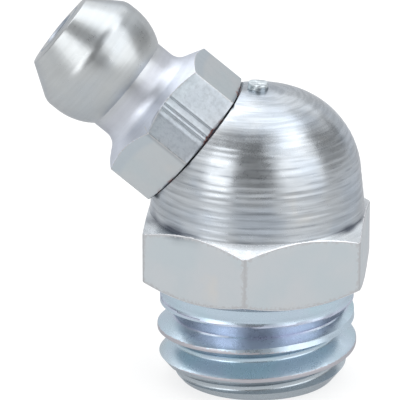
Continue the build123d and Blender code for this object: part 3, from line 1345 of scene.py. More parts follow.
        # Low on the dome each scallop falls faster than it rises, and further up more slowly.
        fall = 0.3 + 0.3 * ramp_up(span, 1.3, 0.8)
        strong = self.marks.lift(span, turn, fall) * self.marks_fade(span, length[-1])
        light = self.fine_marks.lift(span, turn)
        sway = self.sway * Wander(21, length_scale=1.6, turns=5).at(turn, span)
        lift = (strong + light + sway) * faded_ends(span, self.plain_ends, self.plain_ends)
        dome = outline[None] + lift[..., None] * normal[None]
        rows = np.concatenate([base[:, :-1], dome, self.pip_stub(turn)], axis=1)
        return wrapped_solid("elbow_body_dressed", turned_grid(rows, angles))

    def thread_rows(self) -> tuple[Array, Array]:
        """Radius and height of one pitch of the thread, crest first, without its last point.

        Returns:
            Radii and heights.
        """
        root = self.thread_radius - self.thread_depth
        flank = self.thread_depth * tan(pi / 6)
        root_half = self.pitch / 2 - self.crest_half - flank
        corners = [
            (self.thread_radius, 0),
            (self.thread_radius, self.crest_half),
            (root, self.crest_half + flank),
            (root, self.crest_half + flank + 2 * root_half),
            (self.thread_radius, self.pitch - self.crest_half),
            (self.thread_radius, self.pitch),
        ]
        rounds = [self.crest_round, self.root_round, self.root_round, self.crest_round]
        rows = rounded_rows(np.array([corners]), rounds, [1, 5, 1, 5, 1], arc_steps=3)[0, :-1]
        return rows[:, 0], rows[:, 1]

    def run_out_cone(self, height: Array) -> Array:
        """Radius, at each height, of the cone on which the thread runs out."""
        return self.runout_radius + (height - self.fade_height) * tan(self.fade_angle)

    def worn_thread(self, turn: Array, height: Array, full: Array) -> Array:
        """Radius of the thread with its run-out, low lip and worn first crest.

        Args:
            turn: Angle of each column, of shape (columns, 1).
            height: Height of each point.
            full: Radius of the full thread at each point.

        Returns:
            Radius of each point.
        """
        ragged = 0.8 + 0.5 * Wander(43, length_scale=0.3, turns=14).at(turn, height)
        lip = np.exp(-(((height - self.lip_height) / self.lip_width) ** 2))
        lip = lip * self.lip_rise * np.clip(ragged, 0.5, 1)
        dip = self.dip_depth * np.exp(-(((height - self.dip_height) / self.lip_width) ** 2))
        cone = self.run_out_cone(height)
        plain = np.minimum(cone, self.runout_radius - self.runout_inset) + (lip - dip)
        reach = np.where(height > self.fade_height, plain, np.maximum(full, plain))
        first, final = self.worn_crest
        leaving = np.clip((final - turn) / self.worn_blend, 0, 1)
        worn = ramp_up(turn, first, self.worn_blend) * leaving
        groove = self.worn_depth + self.pitch * (turn - first) / tau
        return reach + (plain - reach) * worn * (height > groove)

    def thread_form(self) -> Object:
        """Endless right-hand thread, longer than the shank at both ends.

        Returns:
            The solid.
        """
        radius, height = self.thread_rows()
        start = self.crest_height - self.pitch * self.crest_angle / tau
        below = int(np.ceil((start + self.shank_length + 2 * self.pitch) / self.pitch))
        turns = below + int(np.ceil((self.overlap + self.pitch - start) / self.pitch))
        per_turn = len(radius)
        level = start + (np.arange(turns)[:, None] - below) * self.pitch + height[None]
        level = np.append(level.ravel(), level[-1, 0] + self.pitch)
        width = np.append(np.tile(radius, turns), radius[0])
        columns, rows = self.thread_columns, len(level)
        turn = even_angles(columns)[:, None]
        wave = self.thread_wave * Wander(41, length_scale=0.7, turns=7).at(turn, level[None])
        climb = level + self.pitch * turn / tau
        reach = self.worn_thread(turn, climb, width + wave)
        grid = np.stack([np.cos(turn) * reach, np.sin(turn) * reach, climb], axis=-1)
        faces = sleeve_faces(columns, rows)
        # The last column joins the first one a pitch further up, so its plain quads go.
        kept = [face for face in faces if face[0] // rows != columns - 1]
        last = (columns - 1) * rows
        for row in range(rows - 1 - per_turn):
            kept.append((last + row, row + per_turn, row + per_turn + 1, last + row + 1))
        # Each end is closed by a fan round a pole, from a loop that climbs one pitch.
        foot, top = columns * rows, columns * rows + 1
        low_loop = [column * rows for column in range(columns)] + list(range(per_turn, 0, -1))
        high_loop = [column * rows + rows - 1 for column in range(columns)]
        high_loop += [last + row for row in range(rows - 2, rows - 2 - per_turn, -1)]
        for loop, pole, outward in ((low_loop, foot, False), (high_loop, top, True)):
            for here, ahead in zip(loop, loop[1:] + loop[:1]):
                kept.append((here, ahead, pole) if outward else (pole, ahead, here))
        poles = np.array([[0, 0, level[0] - self.pitch], [0, 0, level[-1] + 2 * self.pitch]])
        return stored_object("thread", np.vstack([grid.reshape(-1, 3), poles]), kept)

    def shank_envelope(self) -> Object:
        """Turned form that bounds the thread: end, chamfer, run-out and relief.

        Returns:
            The solid.
        """
        wide = self.thread_radius + self.overcut
        grow = self.overcut * self.chamfer_length / self.chamfer_radial
        drop = self.overcut * self.runout_taper / (self.thread_radius - self.runout_radius)
        collar = self.runout_radius + 0.03
        corners = [
            (self.core, -self.shank_length),
            (self.thread_radius - self.chamfer_radial, -self.shank_length),
            (wide, self.chamfer_length - self.shank_length + grow),
            (wide, -self.runout_length - drop),
            (collar, self.runout_taper - self.runout_length),
            (collar, -self.relief_width),
            (self.relief_radius, -self.relief_reach),
            (self.relief_radius, self.overlap),
            (self.core, self.overlap),
        ]
        rounds = [0.05, 0.02, 0.02, 0.1, 0.04, 0.04, 0.02]
        outline = rounded_rows(np.array([corners]), rounds, [2, 8, 2, 3, 8, 2, 4, 2])[0]
        return wrapped_solid("shank_envelope", turned_grid(outline, even_angles(self.thread_columns)))

    def passage_tool(self) -> Object:
        """Drill that makes the grease way and its countersunk mouth.

        Returns:
            The solid.
        """
        mouth = self.passage_radius + self.countersink + self.past_end
        below = -self.shank_length - self.past_end
        tip = self.drill_tip
        outline = filled_path(
            [
                (self.tool_core, below),
                (mouth, below),
                (self.passage_radius, self.countersink - self.shank_length),
                (self.passage_radius, self.passage_top),
                (tip, self.passage_top + (self.passage_radius - tip) / tan(self.drill_point)),
            ],
            self.tool_step,
        )
        return wrapped_solid("passage_tool", turned_grid(outline, even_angles(self.tool_columns)))

    def socket_tool(self) -> Object:
        """Drill that makes the head's socket, seen from the spot face.

        Returns:
            The solid.
        """
        tip = self.drill_tip
        outline = filled_path(
            [
                (tip, -self.socket_depth - (self.socket_radius - tip) / tan(self.drill_point)),
                (self.socket_radius, -self.socket_depth),
                (self.socket_radius, self.drill_shank),
                (self.tool_core, self.drill_shank),
            ],
            self.tool_step,
        )
        grid = turned_grid(outline, even_angles(self.tool_columns))
        return wrapped_solid("socket_tool", self.axis.place(grid))

    def spot_face_tool(self) -> Object:
        """Cutter that faces the seat for the head.

        Returns:
            The solid.
        """
        wide, core, top = self.spot_face_radius, self.tool_core, self.cutter_height
        outline = filled_path([(core, 0), (wide, 0), (wide, top), (core, top)], self.spot_face_step)
        grid = turned_grid(outline, even_angles(self.spot_face_columns))
        return wrapped_solid("spot_face_tool", self.axis.place(grid))

    def edge_distance(self, points: Array) -> Array:
        """Distance of each point to the nearest worn edge of the hexagon or thread.

        Args:
            points: Places on the piece.

        Returns:
            Distances in millimetres.
        """
        radius, angle = polar(points)
        height = points[:, 2]
        folded = from_flat_middle(angle)
        half = self.section.across_flats / 2
        corner = np.abs(pi / 6 - folded) * radius
        reach = np.minimum(half / np.cos(folded), half / cos(pi / 6) - self.corner_loss)
        slope = tan(self.chamfer)
        top = self.hex_height - (reach - half) * slope
        upper = np.hypot(height - top, radius - reach)
        lower = np.hypot(height - (reach - self.underside_radius) * slope, radius - reach)
        between = (height > 0) & (height < top + NEAR) & (radius > half)
        corner = np.where(between, corner, FAR)
        crest = np.where(height < 0, np.maximum(self.thread_radius - radius, 0), FAR)
        return np.minimum(np.minimum(corner, crest), np.minimum(upper, lower))

    def dome_marks(self, points: Array) -> tuple[Array, Array]:
        """Strength of the torn turning lines, and coarseness of the turning, at each point.

        Args:
            points: Places on the piece.

        Returns:
            Strengths and coarsenesses.
        """
        outline = self.dome_outline()
        length = run_length(outline)
        foot = outline[0, 1] - 0.5
        known = np.arctan2(outline[:, 1] - foot, outline[:, 0])
        radius, angle = polar(points)
        span = np.interp(np.arctan2(points[:, 2] - foot, radius), known, length)
        nearest = np.stack([np.interp(span, length, outline[:, column]) for column in (0, 1)], axis=-1)
        away = np.hypot(nearest[:, 0] - radius, nearest[:, 1] - points[:, 2])
        coarse = self.marks_fade(span, length[-1])
        fine = self.fine_share * self.fine_marks.torn(span, angle)
        lines = (self.marks.torn(span, angle) + fine) * coarse
        return np.where(away < 0.05, lines, 0.0), coarse

    def painted_darkening(self, points: Array) -> Array:
        """Painted shade in the corner between the hexagon's chamfer and the dome.

        Args:
            points: Places on the piece.

        Returns:
            Strength of the painted shade, from 0 to 1.
        """
        corner_radius, corner_height = self.chamfer_top()
        radius, angle = polar(points)
        away = np.hypot(radius - corner_radius, points[:, 2] - corner_height)
        ragged = 1 + 0.35 * Wander(57, waves=12, turns=24).at(angle, 0 * angle)
        painted_shade = np.zeros(len(points))
        for middle, half, width in self.shaded_corners:
            off = np.abs((angle - radians(middle) + pi) % tau - pi)
            patch = np.clip(1.6 - 1.6 * off / radians(half), 0, 1)
            painted_shade = np.maximum(painted_shade, patch * np.clip(1.15 * ragged - away / width, 0, 1))
        return painted_shade

    def run_out_share(self, points: Array) -> Array:
        """Share of the run-out's tint at each point of the shank.

        Args:
            points: Places on the piece.

        Returns:
            Shares from 0 to 1.
        """
        height = points[:, 2]
        away = np.abs(polar(points)[0] - self.run_out_cone(height))
        near = 0.03 + 0.05 * np.clip((height - self.fade_height + 0.35) / 0.15, 0, 1)
        return np.clip(1.2 - away / near, 0, 1) * (height < self.fade_height + 0.1)

    def surface_kinds(self, mesh: Mesh) -> Array:
        """Finish value of every face.

        Args:
            mesh: Mesh of the piece.

        Returns:
            One value for each face.
        """
        centre = vectors(mesh.polygons, "center") / MM
        normal = vectors(mesh.polygons, "normal")
        radius, height = polar(centre)[0], centre[:, 2]
        kinds = np.full(len(centre), Finish.TURNED.value)
        bar = (height > NEAR) & (height < self.chamfer_top()[1] + NEAR)
        bar = bar & (radius > self.dome_base_radius - NEAR)
        kinds[bar] = Finish.CHAMFER.value
        flats = bar & (np.abs(normal[:, 2]) < 0.3) & (height < self.hex_height)
        kinds[flats] = Finish.FLAT.value
        kinds[(height < 0.04) & (radius < self.thread_radius + 0.05)] = Finish.THREAD.value
        pip = (radius < self.pip_radius + 0.03) & (height > self.dome_height - 0.03)
        kinds[pip] = Finish.FLAT.value
        inside = (height < self.passage_top + 1) & (height > 0.01 - self.shank_length)
        kinds[inside & (radius < self.passage_radius + 0.05)] = Finish.BORE.value
        return kinds

    def build(self, finishes: dict[Finish, Material]) -> Object:
        """Build and dress the body.

        Args:
            finishes: Material of each surface.

        Returns:
            The body, riding on the fitting.
        """
        body = self.upper_form()
        carve(body, self.spot_face_tool(), CarveAction.CUT)
        shank = self.thread_form()
        carve(shank, self.shank_envelope(), CarveAction.KEEP_COMMON)
        carve(body, shank, CarveAction.JOIN)
        carve(body, self.passage_tool(), CarveAction.CUT)
        carve(body, self.socket_tool(), CarveAction.CUT)
        mesh = body.data
        dress_faces(mesh, self.surface_kinds(mesh), finishes)
        smooth_with_sharp_edges(mesh)
        points = vectors(mesh.vertices, "co") / MM
        torn, coarse = self.dome_marks(points)
        values = {
            "edge_distance": self.edge_distance(points),
            # Strength of the torn lines, which the plating paints as shade.
            "torn_line": torn,
            "coarse": coarse,
            "run_out": self.run_out_share(points),
            # Painted shade in the corner between the chamfer and the dome.
            "painted_darkening": self.painted_darkening(points),
            "end_grey": np.clip((self.grey_height - points[:, 2]) / self.grey_blend, 0, 1),
        }
        store_values(mesh, values)
        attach(body, Body.FITTING.value)
        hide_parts("elbow_body")
        return body


# ---------------- the nipple head


@dataclass(frozen=True)
class NippleHead:
    """Turned head: small hexagon with draw marks, neck, coupling head and valve bore.

    Lengths are in millimetres and angles in radians. Radii are from the head's axis, and
    heights from its seat.

    Attributes:
        axis: Axis of the head.
        head_centre: Height of the middle of the coupling head's barrel.
        length: Height of the edge between the cone and the face.
        face_crown: How far the face's land stands past that edge.
        mark_flat: Number of the flat with the draw marks.
        mark_offsets: Places of the marks across that flat.
        strip_profile: Place and depth of the points across the strip beside the marks.
        plain_ends: Lengths at the flare and at the orifice that the turning fades over.
        corner_loss: How far the rounded corners stay short of sharp ones.
    """

    axis: HeadAxis
    section: HexSection = HexSection(6.7, 0.12, 20, 6)
    hex_height: float = 2.81
    chamfer: float = radians(30)
    base_radius: float = 3.28
    seat_chamfer: float = radians(10)
    edge_round: float = 0.05
    neck_radius: float = 2.52
    neck_round: float = 1.5
    head_radius: float = 3.16
    head_centre: float = 6.43
    length: float = 8.74
    cone_angle: float = radians(33.2)
    head_round: float = 1.5
    face_radius: float = 2.055
    face_crown: float = 0.08
    land_radius: float = 1.2
    edge_break: float = 0.1
    step: float = 0.035
    spigot_radius: float = 2.5
    spigot_length: float = 3.3
    spigot_chamfer: float = 0.3
    orifice_radius: float = 0.8
    orifice_length: float = 0.5
    bore_radius: float = 1.4
    lip_radius: float = 0.8
    lip_length: float = 0.4
    mark_flat: int = 5
    mark_width: float = 0.15
    mark_depth: float = 0.04
    mark_offsets: tuple[float, ...] = (0.20, -0.24, -0.48)
    mark_burr: float = 0.004
    strip_profile: tuple[tuple[float, float], ...] = (
        (-1.85, 0.035),
        (-0.85, -0.004),
        (-0.78, -0.012),
        (-0.61, 0.01),
    )
    strip_gap: float = 0.24
    strip_shade: float = 0.33
    marks: TurningMarks = TurningMarks(0.17, 0.0016, 0.0008, 12)
    sway: float = 0.0014
    plain_ends: tuple[float, float] = (0.3, 0.8)
    corner_loss: float = 0.02

    def flare_outline(self) -> Array:
        """Radius and height from the flare's foot to the coupling head's face.

        Returns:
            Positions of shape (rows, 2).
        """
        half = self.section.across_flats / 2
        slope = tan(self.chamfer)
        flare_root = self.hex_height + (half - self.neck_radius) * slope
        back = self.head_centre - sqrt(self.head_radius**2 - self.neck_radius**2)
        start = (half, self.hex_height)
        first = rounded_rows(
            np.array([[start, (self.neck_radius, flare_root), (self.neck_radius, back)]]),
            [self.neck_round],
            [2, 12],
            arc_steps=44,
        )[0]
        back_angle = np.arctan2(back - self.head_centre, self.neck_radius)
        barrel = arc_path((0, self.head_centre), self.head_radius, back_angle, 0, self.step)
        cone_height = self.length - (self.head_radius - self.face_radius) / tan(self.cone_angle)
        nose = [
            (self.head_radius, self.head_centre),
            (self.head_radius, cone_height),
            (self.face_radius, self.length),
            (self.land_radius, self.length + self.face_crown),
            (self.orifice_radius + self.edge_break, self.length + self.face_crown),
        ]
        last = rounded_rows(np.array([nose]), [self.head_round, 0.1, 0.03], [5, 38, 10, 3], arc_steps=20)[0]
        return np.vstack([first, barrel[1:], last[1:]])

    def bore_outline(self) -> Array:
        """Radius and height down the orifice, seat and bore, and round the spigot.

        Returns:
            Positions of shape (rows, 2).
        """
        face = self.length + self.face_crown
        seat_top = face - self.orifice_length
        seat_bottom = seat_top - (self.bore_radius - self.orifice_radius)
        lip = self.lip_length - self.spigot_length
        return filled_path(
            [
                (self.orifice_radius, face - self.edge_break),
                (self.orifice_radius, seat_top),
                (self.bore_radius, seat_bottom),
                (self.bore_radius, lip),
                (self.lip_radius, lip),
                (self.lip_radius, -self.spigot_length),
                (self.spigot_radius - self.spigot_chamfer, -self.spigot_length),
                (self.spigot_radius, self.spigot_chamfer - self.spigot_length),
                (self.spigot_radius, -0.001),
            ],
            0.4,
        )

    def mark_shape(self) -> list[tuple[float, float]]:
        """Depth across the flat that carries the draw marks, with a low ridge beside them.

        Returns:
            Place and depth of each point.
        """
        half = self.mark_width / 2
        floor = half / 4
        shape = list(self.strip_profile)
        for offset in sorted(self.mark_offsets):
            shape += [(offset - half, 0), (offset - floor, self.mark_depth)]
            shape += [(offset + floor, self.mark_depth), (offset + half, -self.mark_burr)]
            shape += [(offset + 1.5 * half, 0)]
        return shape

    def form(self) -> Object:
        """Head as one closed solid, seated on the body.

        Returns:
            The solid.
        """
        reach, angles = polar(self.section.points({self.mark_flat: self.mark_shape()}))
        slope = tan(self.chamfer)
        half = self.section.across_flats / 2
        low = np.maximum(reach - self.base_radius, 0.004) * tan(self.seat_chamfer)
        high = self.hex_height - (reach - half) * slope
        turned = self.flare_outline()[2:]
        foot, seat = (self.spigot_radius, 0.0), (self.base_radius, 0.0)
        corners = corner_rings([foot, seat, (reach, low), (reach, high), turned[0]], len(reach))
        base = rounded_rows(corners, [0.02, self.edge_round, self.edge_round], [2, 5, 12, 10])
        normal = outline_normals(turned)
        length = run_length(turned)
        turn = angles[:, None]
        span = length[None]
        sway = self.sway * Wander(51, length_scale=1.2, turns=4).at(turn, span)
        lift = (self.marks.lift(span, turn) + sway) * faded_ends(span, *self.plain_ends)
        shaped = turned[None] + lift[..., None] * normal[None]
        bore = self.bore_outline()
        bore = np.broadcast_to(bore, (len(reach), *bore.shape))
        rows = np.concatenate([base[:, :-1], shaped, bore], axis=1)
        grid = self.axis.place(turned_grid(rows, angles))
        return wrapped_solid("nipple_head_dressed", grid, ring=True)

    def build(self, finishes: dict[Finish, Material]) -> Object:
        """Build and dress the head.

        Args:
            finishes: Material of each surface.

        Returns:
            The head, riding on the fitting.
        """
        head = self.form()
        mesh = head.data
        dress_faces(mesh, self.surface_kinds(mesh), finishes)
        smooth_with_sharp_edges(mesh)
        points = vectors(mesh.vertices, "co") / MM
        neck = self.neck_share(points)
        above = self.axis.unplace(points)[:, 2] - self.hex_height
        values = {
            "edge_distance": self.edge_distance(points),
            "coarse": neck,
            "run_out": 0.8 * neck * ramp_up(above, 0.1, 0.5),
            "end_grey": np.clip(1.3 - above / 0.8, 0, 1) * (above > -0.7),
            # Strength of the draw marks, which the plating paints as shade.
            "torn_line": self.mark_lines(points),
            # A darker strip painted beside the draw marks.
            "painted_darkening": self.darkened_strip(points),
        }
        store_values(mesh, values)
        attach(head, Body.FITTING.value)
        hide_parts("nipple_head")
        return head

    def neck_share(self, points: Array) -> Array:
        """Share of the neck's rougher turning at each point, from 0.1 to 1."""
        height = self.axis.unplace(points)[:, 2]
        return np.clip((self.head_centre - 1.6 - height) / 0.8, 0.1, 1.0)

    def on_marked_flat(self, points: Array) -> tuple[Array, Array]:
        """Read places against the flat with the draw marks.

        Args:
            points: Places on the piece.

        Returns:
            Place of each across that flat, and whether it lies on the flat.
        """
        local = self.axis.unplace(points)
        facing = self.mark_flat * pi / 3
        across = local[:, 1] * cos(facing) - local[:, 0] * sin(facing)
        outward = local[:, 0] * cos(facing) + local[:, 1] * sin(facing)
        level = (local[:, 2] > 0) & (local[:, 2] < self.hex_height + 0.05)
        return across, level & (outward > self.section.across_flats / 2 - 0.1)

    def mark_lines(self, points: Array) -> Array:
        """Strength of the draw marks at each point, from 0 to 1.

        Args:
            points: Places on the piece.

        Returns:
            The strengths.
        """
        across, on_flat = self.on_marked_flat(points)
        lines = np.zeros(len(points))
        for offset in self.mark_offsets:
            share = np.abs(across - offset) / (self.mark_width / 2)
            lines = np.maximum(lines, np.clip(1.2 - share, 0, 1))
        return np.where(on_flat, lines, 0.0)

    def darkened_strip(self, points: Array) -> Array:
        """Darkening painted on the strip between the last draw mark and the corner beside it."""
        across, on_flat = self.on_marked_flat(points)
        return np.where(on_flat & (across < min(self.mark_offsets) - self.strip_gap), self.strip_shade, 0.0)

    def edge_distance(self, points: Array) -> Array:
        """Distance of each point to the nearest worn edge of the hexagon.

        Args:
            points: Places on the piece.

        Returns:
            Distances in millimetres.
        """
        local = self.axis.unplace(points)
        radius, angle = polar(local)
        height = local[:, 2]
        folded = from_flat_middle(angle)
        half = self.section.across_flats / 2
        corner = np.abs(pi / 6 - folded) * radius
        reach = np.minimum(half / np.cos(folded), half / cos(pi / 6) - self.corner_loss)
        slope = tan(self.chamfer)
        upper = np.hypot(height - (self.hex_height - (reach - half) * slope), radius - reach)
        corner = np.where((height > 0) & (height < self.hex_height) & (radius > half), corner, FAR)
        return np.minimum(corner, upper)

    def surface_kinds(self, mesh: Mesh) -> Array:
        """Finish value of every face.

        Args:
            mesh: Mesh of the piece.

        Returns:
            One value for each face.
        """
        centre = self.axis.unplace(vectors(mesh.polygons, "center") / MM)
        normal = vectors(mesh.polygons, "normal") @ self.axis.direction()
        radius, angle = polar(centre)
        height = centre[:, 2]
        facing = angle - self.mark_flat * pi / 3
        turned_away = np.abs((facing + pi) % tau - pi)
        kinds = np.full(len(centre), Finish.TURNED.value)
        flats = (np.abs(normal) < 0.3) & (height > 0) & (height < self.hex_height) & (radius > 3)
        kinds[flats] = Finish.FLAT.value
        kinds[flats & (turned_away < pi / 6 - 0.01)] = Finish.DRAWN.value
        inside = (radius < self.bore_radius + NEAR) & (height < self.length + self.face_crown - 0.005)
        kinds[inside] = Finish.BORE.value
        return kinds


# ---------------- the valve


@dataclass(frozen=True)
class Valve:
    """Check ball and its spring, in the head's bore.

    Attributes:
        axis: Axis of the head.
        ball_height: Height of the closed ball's middle over the head's seat.
        coil_radius: Radius of the coil, to the middle of the wire.
        gap: Clearance between the spring and what it stands against.
        rear: Height of the shoulder that the spring stands on.
        facing_share: How far up the wire its side faces the ball, as a share of its radius. Not used.
    """

    axis: HeadAxis
    ball_radius: float = 1.2
    ball_height: float = 7.380517
    wire_radius: float = 0.15
    coil_radius: float = 1.05
    turns: int = 8
    gap: float = 0.03
    rear: float = -2.9
    steps_per_turn: int = 48
    wire_steps: int = 16
    facing_share: float = 0.45
    ball_rows: int = 66
    ball_columns: int = 96

    def build_ball(self, material: Material) -> Object:
        """Ball as a closed grid of points, riding on its own body.

        Args:
            material: Material of the ball.

        Returns:
            The ball.
        """
        tilt = np.linspace(-pi / 2, pi / 2, self.ball_rows)[1:-1]
        height = self.ball_radius * np.sin(tilt) + self.ball_height
        outline = np.stack([self.ball_radius * np.cos(tilt), height], axis=-1)
        grid = turned_grid(outline, even_angles(self.ball_columns))
        ball = wrapped_solid("check_ball_dressed", self.axis.place(grid))
        ball.data.materials.append(material)
        ball.data.shade_smooth()
        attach(ball, Body.BALL.value)
        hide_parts("check_ball")
        return ball

    def build_spring(self, material: Material) -> Object:
        """Coiled wire from the head's rear shoulder up to the closed ball.

        Args:
            material: Material of the wire.

        Returns:
            The spring.
        """
        bottom = self.rear + self.wire_radius + self.gap
        reach = self.ball_radius + self.wire_radius + self.gap
        top = self.ball_height - sqrt(reach**2 - self.coil_radius**2)
        count = self.turns * self.steps_per_turn
        turn = np.arange(count + 1) * tau / self.steps_per_turn
        height = bottom + (top - bottom) * np.arange(count + 1) / count
        rise = (top - bottom) / self.turns / tau
        across, aside = self.coil_radius * np.cos(turn), self.coil_radius * np.sin(turn)
        along = np.stack([-aside, across, np.full_like(turn, rise)], axis=-1)
        along /= np.linalg.norm(along, axis=1)[:, None]
        outward = np.stack([np.cos(turn), np.sin(turn), np.zeros_like(turn)], axis=-1)
        side = np.cross(along, outward)
        centre = np.stack([across, aside, height], axis=-1)
        around = even_angles(self.wire_steps)[:, None, None]
        ring = np.cos(around) * outward[None] + np.sin(around) * side[None]
        grid = centre[None] + self.wire_radius * ring
        spring = wrapped_solid("valve_spring_dressed", self.axis.place(grid))
        spring.data.materials.append(material)
        smooth_with_sharp_edges(spring.data)
        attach(spring, Body.FITTING.value)
        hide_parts("valve_spring")
        anchor = self.axis.point(bottom - self.wire_radius) * MM
        tuple(self.axis.direction())
        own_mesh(spring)
        return spring


# ---------------- the studio


@dataclass(frozen=True)
class Softbox:
    """Lamp panel that faces the part.

    Attributes:
        title: Name of the lamp.
        azimuth: Direction from the part, in degrees to the right of the camera.
        elevation: Height of that direction, in degrees.
        wide: Width, in degrees as the part sees it.
        tall: Height, in degrees as the part sees it.
        radiance: Brightness of the panel, where 1 is white.
    """

    title: str
    azimuth: float
    elevation: float
    wide: float
    tall: float
    radiance: float


def panel_corners(wide: float, tall: float, level: float = 0.0) -> Array:
    """Corners of a flat rectangle round the Z axis, at a level."""
    sides = ((-1, -1), (1, -1), (1, 1), (-1, 1))
    return np.array([(x * wide / 2, y * tall / 2, level) for x, y in sides])


@dataclass(frozen=True)
class Studio:
    """Camera, floor, sky, lamps and dark cards.

    Attributes:
        azimuth: Direction of the camera from the part, in degrees from -Y towards +X.
        elevation: Height of that direction, in degrees.
        floor_shade: Grey of the floor that lights the part.
        floor_soft: Grey of the floor that is seen, which shows the part's shadow.
        floor_glow: Light that the seen floor adds, in reflections and to the camera.
        lamp_power: Power of a lamp over its area and radiance.
    """

    azimuth: float = 6.5
    elevation: float = 19.67
    lens: float = 396.7
    sensor: float = 36.0
    position: tuple[float, float, float] = (20.536, -205.48, 77.732)
    floor_height: float = -5.25
    floor_size: float = 9000.0
    floor_shade: Color = linear(0.8, 0.8, 0.8)
    floor_soft: Color = linear(0.32, 0.32, 0.32)
    floor_glow: tuple[float, float] = (0.58, 0.70)
    lamp_distance: float = 900.0
    lamp_power: float = 4.0
    card_distance: float = 1100.0
    softboxes: tuple[Softbox, ...] = (
        Softbox("left_softbox", -47, 23, 30, 48, 1.3),
        Softbox("left_fill", -78, 30, 28, 26, 0.4),
        Softbox("right_softbox", 54, 36, 54, 64, 0.9),
        Softbox("top_softbox", 170, 79, 90, 34, 0.95),
        Softbox("rear_left_softbox", -150, 50, 36, 32, 0.7),
        Softbox("rear_right_softbox", 157, 45, 56, 36, 0.45),
    )
    cards: tuple[Softbox, ...] = (
        Softbox("front_card", -6, 42, 52, 74, 0.28),
        Softbox("upper_left_card", -60, 62, 50, 28, 0.42),
        Softbox("right_card", 110, 32, 58, 52, 0.46),
        Softbox("left_card", -108, 12, 36, 60, 0.5),
    )

    def way(self, azimuth: float, elevation: float) -> Array:
        """Unit vector from the part, with the azimuth counted from the camera to its right."""
        flat, rise = radians(self.azimuth + azimuth), radians(elevation)
        return np.array([sin(flat) * cos(rise), -cos(flat) * cos(rise), sin(rise)])

    def place_camera(self) -> Object:
        """Camera at its measured place, with a long lens.

        Returns:
            The camera.
        """
        data = bpy.data.cameras.new("camera")
        data.lens = self.lens
        data.sensor_width = self.sensor
        data.clip_start = 0.01
        data.clip_end = 100
        camera = bpy.data.objects.new("camera", data)
        bpy.context.scene.collection.objects.link(camera)
        back = Vector(self.way(0, self.elevation))
        turn = (-back).to_track_quat("-Z", "Y")
        camera.matrix_world = Matrix.Translation(Vector(self.position) * MM) @ turn.to_matrix().to_4x4()
        bpy.context.scene.camera = camera
        return camera

    def facing(self, box: Softbox, distance: float) -> tuple[Matrix, float, float]:
        """Placement and size of a panel that faces the part.

        Args:
            box: Panel that is placed.
            distance: Distance from the part, in millimetres.

        Returns:
            Its matrix, width and height, in metres.
        """
        out = Vector(self.way(box.azimuth, box.elevation))
        turn = out.to_track_quat("Z", "Y").to_matrix().to_4x4()
        wide = 2 * distance * MM * tan(radians(box.wide / 2))
        tall = 2 * distance * MM * tan(radians(box.tall / 2))
        return Matrix.Translation(out * distance * MM) @ turn, wide, tall

    def hang_softbox(self, box: Softbox) -> None:
        """Area lamp with a stated radiance.

        Args:
            box: Lamp that is hung.
        """
        matrix, wide, tall = self.facing(box, self.lamp_distance)
        data = bpy.data.lights.new(box.title, "AREA")
        data.shape = "RECTANGLE"
        data.size = wide
        data.size_y = tall
        data.energy = self.lamp_power * wide * tall * box.radiance
        lamp = bpy.data.objects.new(box.title, data)
        lamp.matrix_world = matrix
        lamp.visible_camera = False
        bpy.context.scene.collection.objects.link(lamp)

    def hang_card(self, box: Softbox) -> None:
        """Dark card that metal reflects and the camera doesn't see.

        Args:
            box: Card that is hung.
        """
        matrix, wide, tall = self.facing(box, self.card_distance)
        card = stored_object(box.title, panel_corners(wide, tall) / MM, [(0, 1, 2, 3)])
        card.matrix_world = matrix
        card.visible_camera = False
        card.visible_shadow = False
        material, bench = blank_material(box.title)
        glow = bench.node("ShaderNodeEmission")
        bench.give(glow, Strength=box.radiance)
        show_surface(bench, glow.outputs[0])
        card.data.materials.append(material)

    def lay_floor(self) -> None:
        """Pale floor that reads white where nothing shades it."""
        corners = panel_corners(self.floor_size, self.floor_size, self.floor_height)
        floor = stored_object("floor", corners, [(0, 1, 2, 3)])
        material, bench = blank_material("pale_floor")
        path = bench.node("ShaderNodeLightPath")
        to_camera = path.outputs["Is Camera Ray"]
        seen = bench.math("MAXIMUM", to_camera, path.outputs["Is Glossy Ray"])
        seen = bench.math("MAXIMUM", seen, path.outputs["Is Transmission Ray"])
        shade = bench.node("ShaderNodeBsdfDiffuse")
        bench.give(shade, Color=self.floor_shade)
        soft = bench.node("ShaderNodeBsdfDiffuse")
        bench.give(soft, Color=self.floor_soft)
        glow = bench.node("ShaderNodeEmission")
        bench.give(glow, Strength=bench.ramp(to_camera, 0.0, 1.0, *self.floor_glow))
        both = bench.node("ShaderNodeAddShader")
        bench.feed(both.inputs[0], soft.outputs[0])
        bench.feed(both.inputs[1], glow.outputs[0])
        choice = bench.node("ShaderNodeMixShader")
        bench.feed(choice.inputs[0], seen)
        bench.feed(choice.inputs[1], shade.outputs[0])
        bench.feed(choice.inputs[2], both.outputs[0])
        show_surface(bench, choice.outputs[0])
        floor.data.materials.append(material)

    def light_sky(self) -> None:
        """White surroundings."""
        world = bpy.data.worlds.new("studio")
        world.use_nodes = True
        world.node_tree.nodes["Background"].inputs["Color"].default_value = linear(1, 1, 1)
        world.node_tree.nodes["Background"].inputs["Strength"].default_value = 1.0
        bpy.context.scene.world = world

    def build(self) -> None:
        """Set the whole studio up."""
        bpy.context.scene.view_settings.view_transform = "Standard"
        self.place_camera()
        self.light_sky()
        self.lay_floor()
        for box in self.softboxes:
            self.hang_softbox(box)
        for card in self.cards:
            self.hang_card(card)


# ---------------- finishes


